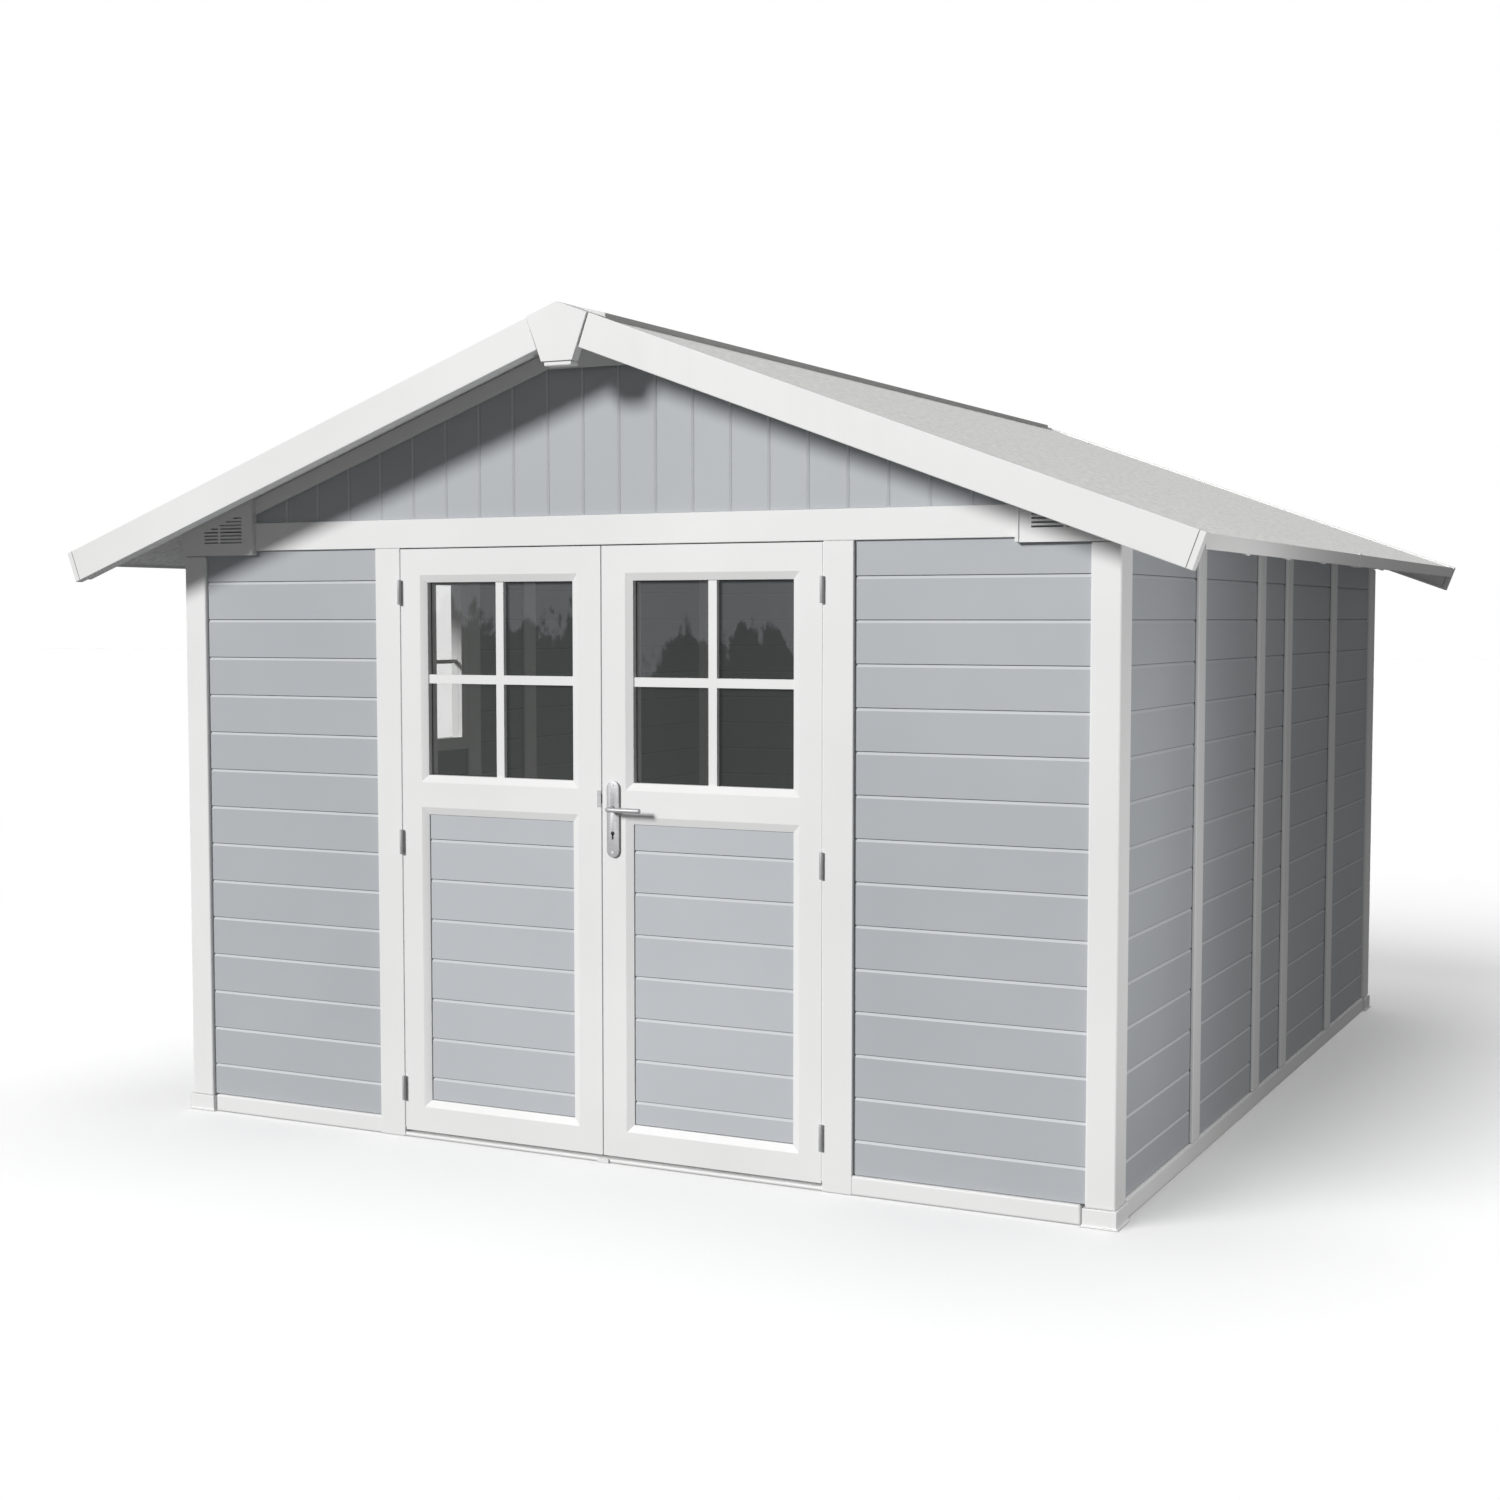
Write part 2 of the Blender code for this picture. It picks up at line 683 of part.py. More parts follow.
def make_ridge_beam(steel):
    """The beam under the ridge, held between the gables."""
    half = RIDGE_BEAM_WIDTH / 2
    top = under_roof(half) - 2 * CLEARANCE
    near = FRONT + BOARD_BACK + CLEARANCE
    far = REAR - FRAME_DEPTH - CLEARANCE
    return block("ridge_beam", (-half, near, top - RIDGE_BEAM_HEIGHT), (half, far, top), steel)


# ---------------------------------------------------------------- doors


def leaf_openings():
    """Inner edges of a leaf's window and lower panel, as distances from its centre line and heights."""
    near = MEETING_GAP / 2 + MEETING_STILE + MOULDING_WIDTH
    far = LEAF_EDGE - HINGE_STILE - MOULDING_WIDTH
    window = (
        near,
        far,
        MIDDLE_RAIL_CENTRE + LEAF_BOTTOM + MIDDLE_RAIL / 2 + MOULDING_WIDTH,
        LEAF_TOP - TOP_RAIL - MOULDING_WIDTH,
    )
    panel = (
        near,
        far,
        LEAF_BOTTOM + BOTTOM_RAIL + MOULDING_WIDTH,
        MIDDLE_RAIL_CENTRE + LEAF_BOTTOM - MIDDLE_RAIL / 2 - MOULDING_WIDTH,
    )
    return window, panel


def make_opening_cutter(name, side, opening, material):
    """A cutter that is flared by the moulding at the face and straight behind it."""
    near, far, bottom, top = opening
    flare = MOULDING_WIDTH * (1 + CLEARANCE / MOULDING_DEPTH)
    stations = (
        (LEAF_FACE - CLEARANCE, flare),
        (LEAF_FACE + MOULDING_DEPTH, 0),
        (LEAF_BACK + CLEARANCE, 0),
    )
    bm = bmesh.new()
    loops = []
    for y, spread in stations:
        corners = (
            (near - spread, bottom - spread),
            (far + spread, bottom - spread),
            (far + spread, top + spread),
            (near - spread, top + spread),
        )
        loops.append([bm.verts.new((side * x, y, z)) for x, z in corners])
    bm.faces.new(loops[0])
    bm.faces.new(loops[-1])
    for first, second in zip(loops, loops[1:]):
        for corner in range(4):
            after = (corner + 1) % 4
            bm.faces.new((first[corner], first[after], second[after], second[corner]))
    return add_object(name, bm, material)


def make_leaf(name, side, white):
    """A door leaf: a frame round its window and lower panel, with the window's glazing bars."""
    left, right = sorted((side * MEETING_GAP / 2, side * LEAF_EDGE))
    leaf = block(name, (left, LEAF_FACE, LEAF_BOTTOM), (right, LEAF_BACK, LEAF_TOP), white)
    window, panel = leaf_openings()
    for part, opening in (("window", window), ("lower", panel)):
        cutter = make_opening_cutter(f"{name}_{part}_opening", side, opening, white)
        boolean(leaf, cutter, "DIFFERENCE")
    near, far, bottom, top = window
    middle_x = (near + far) / 2
    middle_z = (bottom + top) / 2
    half = GLAZING_BAR / 2
    root = MOULDING_WIDTH / 2
    cross = [
        (middle_x - half, bottom - root),
        (middle_x + half, bottom - root),
        (middle_x + half, middle_z - half),
        (far + root, middle_z - half),
        (far + root, middle_z + half),
        (middle_x + half, middle_z + half),
        (middle_x + half, top + root),
        (middle_x - half, top + root),
        (middle_x - half, middle_z + half),
        (near - root, middle_z + half),
        (near - root, middle_z - half),
        (middle_x - half, middle_z - half),
    ]
    cross = [(side * x, z) for x, z in cross]
    start = LEAF_FACE + GLAZING_BAR_DEPTH
    bars = prism(f"{name}_bars", cross, "Y", start, start + GLAZING_BAR_THICKNESS, white)
    boolean(leaf, bars, "UNION")
    return leaf


def make_leaf_glass(name, side, glass):
    near, far, bottom, top = leaf_openings()[0]
    left, right = sorted((side * (near + CLEARANCE), side * (far - CLEARANCE)))
    start = LEAF_FACE + GLASS_DEPTH
    low = (left, start, bottom + CLEARANCE)
    return block(name, low, (right, start + GLASS_THICKNESS, top - CLEARANCE), glass)


def make_leaf_panel(name, side, cladding):
    """The boarded lower panel of a leaf."""
    near, far, bottom, top = leaf_openings()[1]
    low = bottom + CLEARANCE
    high = top - CLEARANCE
    first = LEAF_BOTTOM + BOTTOM_RAIL + DOOR_BOARD_PITCH * 3 / 4
    joints = joints_between(low, high, first, DOOR_BOARD_PITCH)
    face = MOULDING_DEPTH + DOOR_PANEL_RECESS
    outline = board_outline(low, high, joints, face, face + DOOR_PANEL_THICKNESS)
    outline = [(LEAF_FACE + depth, height) for depth, height in outline]
    return prism(
        name, outline, "X", side * (near + CLEARANCE), side * (far - CLEARANCE), cladding
    )


def make_hinge(name, side, middle, steel):
    """A hinge: its barrel on the door's axis and the leaf of steel behind it."""
    half_tail = HINGE_TAIL_THICKNESS / 2
    mouth = math.degrees(math.asin(half_tail / HINGE_RADIUS))
    arc = round_end((0, 0), HINGE_RADIUS, 90 + mouth, 450 - mouth, 16)
    outline = arc + [(half_tail, HINGE_TAIL), (-half_tail, HINGE_TAIL)]
    outline = [(side * HINGE_X + x, HINGE_Y + y) for x, y in outline]
    return prism(name, outline, "Z", middle - HINGE_LENGTH / 2, middle + HINGE_LENGTH / 2, steel)


# ---------------------------------------------------------------- handle and latch


def make_handle_plate(aluminium):
    """The long plate behind the lever, with its spindle hole."""
    radius = PLATE_WIDTH / 2
    top = HANDLE_HEIGHT + PLATE_ABOVE_HANDLE
    bottom = top - PLATE_HEIGHT
    outline = round_end((HANDLE_X, top - radius), radius, 0, 180, 12)
    outline += round_end((HANDLE_X, bottom + radius), radius, 180, 360, 12)
    back = LEAF_FACE - CLEARANCE
    plate = prism("handle_plate", outline, "Y", back - PLATE_THICKNESS, back, aluminium)
    return plate


def make_spindle_hole(name, aluminium):
    """A cutter for the spindle's way through the plate and the leaf."""
    circle = round_end((HANDLE_X, HANDLE_HEIGHT), SPINDLE_HOLE_RADIUS, 0, 345, 23)
    near = LEAF_FACE - LEVER_REACH
    return prism(name, circle, "Y", near, LEAF_BACK + LEVER_REACH, aluminium)


def make_lever(aluminium):
    """The lever handle: an arm outside, the spindle, and an arm inside, as one bent bar."""
    outside = LEAF_FACE - LEVER_REACH
    inside = LEAF_BACK + LEVER_REACH
    bend = 2 * LEVER_RADIUS
    neck_out = LEAF_FACE - PLATE_THICKNESS - 4 * CLEARANCE
    neck_in = LEAF_BACK + PLATE_THICKNESS + 4 * CLEARANCE
    turn_out = round_end((HANDLE_X + bend, outside + bend), bend, 270, 180, 6)
    turn_in = round_end((HANDLE_X + bend, inside - bend), bend, 180, 90, 6)
    route = [(HANDLE_X + LEVER_LENGTH, outside, LEVER_RADIUS)]
    route += [(x, y, LEVER_RADIUS) for x, y in turn_out]
    route += [(HANDLE_X, neck_out, LEVER_RADIUS), (HANDLE_X, neck_out + CLEARANCE, SPINDLE_RADIUS)]
    route += [(HANDLE_X, neck_in - CLEARANCE, SPINDLE_RADIUS), (HANDLE_X, neck_in, LEVER_RADIUS)]
    route += [(x, y, LEVER_RADIUS) for x, y in turn_in]
    route += [(HANDLE_X + LEVER_LENGTH, inside, LEVER_RADIUS)]
    curve = bpy.data.curves.new("lever_handle", "CURVE")
    curve.dimensions = "3D"
    curve.bevel_depth = 1.0
    curve.bevel_resolution = 3
    curve.use_fill_caps = True
    spline = curve.splines.new("POLY")
    spline.points.add(len(route) - 1)
    for point, (x, y, radius) in zip(spline.points, route):
        point.co = (x, y, HANDLE_HEIGHT, 1)
        point.radius = radius
    curve.materials.append(aluminium)
    lever = bpy.data.objects.new("lever_handle", curve)
    bpy.context.scene.collection.objects.link(lever)
    return lever


def make_latch(aluminium):
    """The latch bolt in the active leaf's edge, shown out in the other leaf's keep."""
    low = (
        MEETING_GAP / 2 - LATCH_THROW,
        LEAF_FACE + LATCH_DEPTH,
        LATCH_Z - LATCH_HEIGHT / 2,
    )
    high = (
        MEETING_GAP / 2 - LATCH_THROW + LATCH_LENGTH,
        LEAF_FACE + LATCH_DEPTH + LATCH_THICKNESS,
        LATCH_Z + LATCH_HEIGHT / 2,
    )
    return block("latch_bolt", low, high, aluminium)


def make_latch_way(name, material):
    """A cutter for the latch's pocket in the active leaf."""
    margin = LATCH_CLEARANCE
    start = LEAF_FACE + LATCH_DEPTH
    return block(
        name,
        (-CLEARANCE, start - margin, LATCH_Z - LATCH_HEIGHT / 2 - margin),
        (
            MEETING_GAP / 2 + LATCH_LENGTH + margin,
            start + LATCH_THICKNESS + margin,
            LATCH_Z + LATCH_HEIGHT / 2 + margin,
        ),
        material,
    )


def make_keep(name, material):
    """A cutter for the keep: a notch through the other leaf's edge that the latch swings clear of."""
    margin = LATCH_CLEARANCE
    return block(
        name,
        (
            MEETING_GAP / 2 - LATCH_THROW - 2 * margin,
            LEAF_FACE - LEAF_THICKNESS,
            LATCH_Z - LATCH_HEIGHT / 2 - margin,
        ),
        (CLEARANCE, LEAF_BACK + LEAF_THICKNESS, LATCH_Z + LATCH_HEIGHT / 2 + margin),
        material,
    )


# ---------------------------------------------------------------- assembly


def make_frame(white):
    make_front_base_rail(white)
    make_rear_base_rail(white)
    for side_name, side in (("left", -1), ("right", 1)):
        make_foot(f"front_{side_name}_foot", side, -1, white)
        make_side_base_rail(f"{side_name}_base_rail", side, white)
        make_front_corner_post(f"front_{side_name}_corner_post", side, white)
        make_rear_corner_post(f"rear_{side_name}_corner_post", side, white)
        make_side_posts(side_name, side, white)
        make_jamb(f"{side_name}_jamb", side, white)
        make_vent_cover(f"front_{side_name}_vent_cover", side, white)
    make_front_header(white)


def make_walls(white, cladding, glass):
    for side_name, side in (("left", -1), ("right", 1)):
        make_front_wall(f"front_{side_name}_wall", side, cladding)
    left_wall = make_side_wall("left_wall", -1, cladding)
    make_side_wall("right_wall", 1, cladding)
    make_rear_wall(cladding)
    make_side_window(left_wall, white, glass)
    make_front_gable(cladding)
    make_rear_gable(cladding)


def make_roof(white, roofing, steel):
    for side_name, side in (("left", -1), ("right", 1)):
        make_roof_panel(f"{side_name}_roof_panel", side, roofing)
        make_fascia(f"{side_name}_fascia", side, white)
        for end_name, end in (("front", -1), ("rear", 1)):
            make_bargeboard(f"{end_name}_{side_name}_bargeboard", side, end, white)
    for end_name, end in (("front", -1), ("rear", 1)):
        make_key_piece(f"{end_name}_key_piece", end, white)
    make_ridge_cap(white)
    make_ridge_beam(steel)


def make_doors(white, cladding, glass, steel, aluminium):
    pieces = {}
    for side_name, side in (("left", -1), ("right", 1)):
        leaf = make_leaf(f"{side_name}_door_leaf", side, white)
        panel = make_leaf_panel(f"{side_name}_door_lower_panel", side, cladding)
        pane = make_leaf_glass(f"{side_name}_door_glass", side, glass)
        pieces[side_name] = [leaf, panel, pane]
        heights = {
            "bottom": LEAF_BOTTOM + HINGE_INSET,
            "middle": LEAF_BOTTOM + LEAF_HEIGHT / 2,
            "top": LEAF_TOP - HINGE_INSET,
        }
        for place, middle in heights.items():
            make_hinge(f"{side_name}_hinge_{place}", side, middle, steel)
    plate = make_handle_plate(aluminium)
    lever = make_lever(aluminium)
    latch = make_latch(aluminium)
    hole = make_spindle_hole("spindle_hole", aluminium)
    boolean(plate, hole, "DIFFERENCE")
    boolean(pieces["right"][0], hole, "DIFFERENCE")
    boolean(pieces["right"][0], make_latch_way("latch_way", white), "DIFFERENCE")
    boolean(pieces["left"][0], make_keep("latch_keep", white), "DIFFERENCE")
    hang_on("left_door_axis", (-HINGE_X, HINGE_Y, 0), pieces["left"])
    hang_on("right_door_axis", (HINGE_X, HINGE_Y, 0), [*pieces["right"], plate])
    hang_on("lever_axis", (HANDLE_X, LEAF_FACE, HANDLE_HEIGHT), [lever])
    hang_on("latch_axis", (HANDLE_X, LEAF_FACE + LATCH_DEPTH, LATCH_Z), [latch])


def main():
    clear_scene()
    white = finish_material("white_plastic", (0.80, 0.80, 0.79), 0.42)
    cladding = finish_material("blue_grey_plastic", (0.46, 0.51, 0.55), 0.48)
    roofing = finish_material("roof_plastic", (0.78, 0.78, 0.76), 0.7)
    glass = finish_material("dark_glass", (0.05, 0.055, 0.06), 0.04, alpha=0.35)
    steel = finish_material("galvanised_steel", (0.45, 0.46, 0.47), 0.4, metallic=1.0)
    aluminium = finish_material("aluminium", (0.62, 0.63, 0.64), 0.3, metallic=1.0)
    make_frame(white)
    make_walls(white, cladding, glass)
    make_roof(white, roofing, steel)
    make_doors(white, cladding, glass, steel, aluminium)


main()
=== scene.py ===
"""Looks of a plastic garden shed: rounded edges, trims, fittings, finishes, light and camera."""

import json
import math

import bpy
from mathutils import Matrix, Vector


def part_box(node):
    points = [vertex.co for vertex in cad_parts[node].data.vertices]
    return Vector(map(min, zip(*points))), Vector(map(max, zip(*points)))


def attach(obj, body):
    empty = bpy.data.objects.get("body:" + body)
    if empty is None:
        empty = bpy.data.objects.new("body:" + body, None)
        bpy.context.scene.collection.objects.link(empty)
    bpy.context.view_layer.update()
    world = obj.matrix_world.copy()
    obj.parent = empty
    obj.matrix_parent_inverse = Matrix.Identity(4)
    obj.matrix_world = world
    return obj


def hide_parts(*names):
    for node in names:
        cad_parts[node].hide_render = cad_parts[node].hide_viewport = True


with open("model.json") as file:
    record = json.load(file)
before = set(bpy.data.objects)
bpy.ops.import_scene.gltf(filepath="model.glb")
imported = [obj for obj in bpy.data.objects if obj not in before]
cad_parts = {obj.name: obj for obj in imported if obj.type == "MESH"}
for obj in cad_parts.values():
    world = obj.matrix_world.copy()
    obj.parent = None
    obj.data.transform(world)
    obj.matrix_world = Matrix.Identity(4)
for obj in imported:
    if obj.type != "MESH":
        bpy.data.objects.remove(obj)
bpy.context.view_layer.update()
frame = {"nodes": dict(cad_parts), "record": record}

SLOPE = 0.367
TILT = math.atan(SLOPE)
FRONT_OF_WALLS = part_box("left_jamb")[0].y
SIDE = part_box("front_right_corner_post")[1].x
BOARD_THICKNESS = 0.026

# Walls
LINING_GAP = 0.0006
LINING_SHARE = 0.5
SEAL_PLAY = 0.0001
SEAL_WIDTH = 0.0028
SEAL_SETBACK = 0.0028
SEAL_BACK = 0.03
SEAL_BOTTOM = 0.03
SEAL_TOP = 1.838
REAR_POST_DEPTH = 0.014
REAR_POST_PROUD = 0.0012
REAR_POST_OVERLAP = 0.0004
INNER_FACE = SIDE - 0.0378
INNER_POST_THICKNESS = 0.012
INNER_POST_SHORT = 0.03
WALL_PLATE_WIDTH = 0.035
WALL_PLATE_HEIGHT = 0.055
WALL_PLATE_DROP = 0.012
WALL_PLATE_END = 1.705

# Gables and vents
TRIM_DROP = 0.047
TRIM_THICKNESS = 0.0097
TRIM_GAP = 0.0003
TRIM_SLACK = 0.05
TRIM_UNDER_ROOF = 0.0008
APEX_HALF_WIDTH = 0.172
APEX_FRONT = 0.0125
APEX_BACK = 0.0104
APEX_BOTTOM = 2.361
APEX_TOP = 2.44
VENT_RIB_WIDTH = 0.011
VENT_RIB_PROUD = 0.004
VENT_RIB_BACK = 0.002
VENT_RIB_UNDER_ROOF = 0.006
CORNER_BLOCK_FRONT = 1.7605
CORNER_BLOCK_BACK = 1.7985

# Roof
CAP_RIM = 0.012
CAP_LIP = 0.0125
KEY_FOOT_HALF_WIDTH = 0.045
KEY_FOOT_SETBACK = 0.006
KEY_FOOT_BACK = 0.045
KEY_FOOT_HEIGHT = 0.013
END_CAP_LENGTH = 0.018
END_CAP_SEAM = 0.0025
CLIP_HALF_LENGTH = 0.02
CLIP_PROUD = 0.0015
CLIP_LAP = 0.001
CLIP_DROP = 0.002
BATTEN_COUNT = 7
BATTEN_PITCH = 0.5
BATTEN_HALF_WIDTH = 0.02
BATTEN_HALF_THICKNESS = 0.005
BATTEN_UNDER_ROOF = 0.0075
BATTEN_FROM_RIDGE = 0.04
BATTEN_FROM_EAVE = 0.006
LIP_START = 0.11
LIP_FROM_TIP = 0.05
LIP_WIDTH = 0.022
LIP_HALF_THICKNESS = 0.003
LIP_BELOW_TOP = 0.1005
BARGE_START = 0.102

# Doors and handle
GLASS_BEAD = 0.0022
GLASS_GAP = 0.0004
RING_SHARES = (0.335, 0.665)
RING_PROUD = 0.0002
RING_THICKNESS = 0.0012
STOP_LEFT = 0.019
STOP_RIGHT = 0.021
STOP_PROUD = 0.004
STOP_HEIGHT = 0.012
STRIKE_WIDTH = 0.014
STRIKE_THICKNESS = 0.0012
STRIKE_BOTTOM = 1.067
STRIKE_TOP = 1.117
COVER_STRIP_WIDTH = 0.025
COVER_STRIP_END = 0.01
COVER_STRIP_BACK = 0.006
INNER_PLATE_GAP = 0.0005
SCREW_RADIUS = 0.0042
SCREW_HEAD = 0.0016
SCREW_FROM_TOP = 0.012
SCREW_FROM_BOTTOM = 0.015
KEYHOLE_RADIUS = 0.0062
KEYHOLE_DEPTH = 0.0008
KEYHOLE_HEIGHT = 0.992
KEYHOLE_HALF_WIDTH = 0.0028
KEYHOLE_BOTTOM = 0.974
KEYHOLE_TOP = 0.990

BODY_OF = {
    node: body
    for body, nodes in frame["record"]["behaviour"]["bodies"].items()
    for node in nodes
}


# ---------------------------------------------------------------- finishes


def new_finish(name, roughness, metallic=0.0):
    """A material with its shader, ready for its own colour and surface nodes."""
    finish = bpy.data.materials.new(name)
    finish.use_nodes = True
    shader = finish.node_tree.nodes["Principled BSDF"]
    shader.inputs["Roughness"].default_value = roughness
    shader.inputs["Metallic"].default_value = metallic
    return finish, finish.node_tree, shader


def noise_on(tree, stretch, scale, detail=4.0):
    """Noise in the piece's own coordinates, stretched along an axis."""
    where = tree.nodes.new("ShaderNodeTexCoord")
    mapping = tree.nodes.new("ShaderNodeMapping")
    mapping.inputs["Scale"].default_value = stretch
    noise = tree.nodes.new("ShaderNodeTexNoise")
    noise.inputs["Scale"].default_value = scale
    noise.inputs["Detail"].default_value = detail
    tree.links.new(where.outputs["Object"], mapping.inputs["Vector"])
    tree.links.new(mapping.outputs["Vector"], noise.inputs["Vector"])
    return noise


def colour_between(tree, noise, dark, light, low=0.3, high=0.7):
    ramp = tree.nodes.new("ShaderNodeValToRGB")
    ramp.color_ramp.elements[0].position = low
    ramp.color_ramp.elements[1].position = high
    ramp.color_ramp.elements[0].color = (*dark, 1)
    ramp.color_ramp.elements[1].color = (*light, 1)
    tree.links.new(noise.outputs["Fac"], ramp.inputs["Fac"])
    return ramp


def roughness_between(tree, shader, noise, low, high):
    spread = tree.nodes.new("ShaderNodeMapRange")
    spread.inputs["To Min"].default_value = low
    spread.inputs["To Max"].default_value = high
    tree.links.new(noise.outputs["Fac"], spread.inputs["Value"])
    tree.links.new(spread.outputs["Result"], shader.inputs["Roughness"])


def bump_from(tree, shader, height, strength, distance):
    bump = tree.nodes.new("ShaderNodeBump")
    bump.inputs["Strength"].default_value = strength
    bump.inputs["Distance"].default_value = distance
    tree.links.new(height, bump.inputs["Height"])
    tree.links.new(bump.outputs["Normal"], shader.inputs["Normal"])


def satin_plastic(name, dark, light, stretch):
    """Extruded plastic: faint cloudiness, fine draw lines and an orange-peel skin."""
    finish, tree, shader = new_finish(name, 0.42)
    shader.inputs["Specular IOR Level"].default_value = 0.3
    clouds = noise_on(tree, (1, 1, 1), 1.7, 3.0)
    tint = colour_between(tree, clouds, dark, light)
    tree.links.new(tint.outputs["Color"], shader.inputs["Base Color"])
    lines = noise_on(tree, stretch, 9.0, 6.0)
    roughness_between(tree, shader, lines, 0.36, 0.52)
    bump_from(tree, shader, lines.outputs["Fac"], 0.12, 0.0008)
    return finish


def granular_roofing():
    """Roof sheet with a mineral, grainy face."""
    finish, tree, shader = new_finish("granular_roofing", 0.8)
    grains = noise_on(tree, (1, 1, 1), 60.0, 8.0)
    tint = colour_between(tree, grains, (0.70, 0.70, 0.69), (0.92, 0.92, 0.91), 0.35, 0.62)
    tree.links.new(tint.outputs["Color"], shader.inputs["Base Color"])
    roughness_between(tree, shader, grains, 0.7, 0.92)
    bump_from(tree, shader, grains.outputs["Fac"], 0.22, 0.002)
    return finish


def glazing_painted_reflection():
    """Thin clear glass whose colour holds a painted reflection of a garden: trees below, sky above."""
    finish, tree, shader = new_finish("glazing_painted_reflection", 0.02)
    where = tree.nodes.new("ShaderNodeTexCoord")
    height = tree.nodes.new("ShaderNodeSeparateXYZ")
    painted_reflection_leaves = noise_on(tree, (1.6, 1, 0.7), 4.2, 12.0)
    painted_reflection_leaves.inputs["Roughness"].default_value = 0.7
    painted_reflection_treeline = tree.nodes.new("ShaderNodeMath")
    painted_reflection_treeline.operation = "MULTIPLY_ADD"
    painted_reflection_treeline.inputs[1].default_value = 0.95
    above = tree.nodes.new("ShaderNodeMath")
    above.operation = "SUBTRACT"
    above.inputs[1].default_value = 1.42
    tree.links.new(where.outputs["Object"], height.inputs["Vector"])
    tree.links.new(height.outputs["Z"], above.inputs[0])
    tree.links.new(painted_reflection_leaves.outputs["Fac"], painted_reflection_treeline.inputs[0])
    tree.links.new(above.outputs["Value"], painted_reflection_treeline.inputs[2])
    # painted reflection: dark green treetops below, pale sky above, set by height
    tint = tree.nodes.new("ShaderNodeValToRGB")
    tint.color_ramp.elements[0].position = 0.62
    tint.color_ramp.elements[1].position = 0.64
    tint.color_ramp.elements[0].color = (0.15, 0.165, 0.145, 1)
    tint.color_ramp.elements[1].color = (0.50, 0.51, 0.53, 1)
    tree.links.new(painted_reflection_treeline.outputs["Value"], tint.inputs["Fac"])
    tree.links.new(tint.outputs["Color"], shader.inputs["Base Color"])
    waves = noise_on(tree, (1, 1, 1), 1.3, 1.0)
    roughness_between(tree, shader, waves, 0.015, 0.03)
    bump_from(tree, shader, waves.outputs["Fac"], 0.02, 0.002)
    shader.inputs["Alpha"].default_value = 0.09
    shader.inputs["IOR"].default_value = 1.52
    return finish


def metal(name, dark, light, stretch, roughness, metallic):
    """Brushed or dull metal, with a low metallic value so that it is only partly mirror-like."""
    finish, tree, shader = new_finish(name, roughness, metallic)
    grain = noise_on(tree, stretch, 30.0, 5.0)
    tint = colour_between(tree, grain, dark, light)
    tree.links.new(tint.outputs["Color"], shader.inputs["Base Color"])
    roughness_between(tree, shader, grain, roughness - 0.06, roughness + 0.1)
    bump_from(tree, shader, grain.outputs["Fac"], 0.1, 0.0003)
    return finish


def painted_shade_black():
    # Black used as painted shade: the shadow in the glass reveals and the dark inside of the keyhole.
    finish, tree, shader = new_finish("painted_shade_black", 0.7)
    grain = noise_on(tree, (1, 1, 1), 80.0, 3.0)
    tint = colour_between(tree, grain, (0.012, 0.012, 0.012), (0.03, 0.03, 0.03))
    tree.links.new(tint.outputs["Color"], shader.inputs["Base Color"])
    bump_from(tree, shader, grain.outputs["Fac"], 0.2, 0.0005)
    return finish


WHITE = satin_plastic("white_plastic", (0.80, 0.80, 0.795), (0.85, 0.85, 0.845), (3, 3, 0.4))
CLADDING = satin_plastic("board_plastic", (0.435, 0.455, 0.478), (0.465, 0.485, 0.508), (0.5, 0.5, 14))
# painted light: the door boards are a lighter copy of the wall board colour, standing in for the
# brighter light on the doors
DOOR_CLADDING_PAINTED_LIGHT = satin_plastic(
    "door_board_painted_light", (0.495, 0.515, 0.540), (0.525, 0.545, 0.570), (0.5, 0.5, 14)
)
GABLE_CLADDING = satin_plastic(
    "gable_board_plastic", (0.435, 0.455, 0.478), (0.465, 0.485, 0.508), (14, 1, 0.5)
)
# painted shadow: near-black for the shaded lip of each board joint
JOINT_SHADE = satin_plastic("joint_shade_plastic", (0.10, 0.105, 0.11), (0.14, 0.145, 0.15), (1, 1, 1))
# painted shade: the ridge cap is a darker grey copy of the white plastic, standing in for the shade on
# its lips
RIDGE_CAP_PAINTED_SHADE = satin_plastic("ridge_cap_painted_shade", (0.57, 0.57, 0.565), (0.62, 0.62, 0.615), (3, 0.4, 3))
# painted highlight: a paler copy of the board colour for the lit chamfer of each board joint
BOARD_EDGE_HIGHLIGHT = satin_plastic("board_edge_painted_highlight", (0.60, 0.62, 0.64), (0.64, 0.66, 0.68), (1, 1, 1))
ROOFING = granular_roofing()
GLAZING = glazing_painted_reflection()
ALUMINIUM = metal("satin_aluminium", (0.46, 0.46, 0.47), (0.54, 0.54, 0.55), (1, 1, 12), 0.42, 0.3)
ZINC = metal("dull_zinc", (0.42, 0.425, 0.43), (0.50, 0.505, 0.51), (1, 1, 1), 0.5, 0.15)
# painted shade: black for the shadow in the glass reveals and the dark inside of the keyhole
PAINTED_SHADE_BLACK = painted_shade_black()


# ---------------------------------------------------------------- modelling helpers


def only(piece):
    """Makes a piece the only one selected, and the active one."""
    bpy.ops.object.select_all(action="DESELECT")
    piece.select_set(True)
    bpy.context.view_layer.objects.active = piece


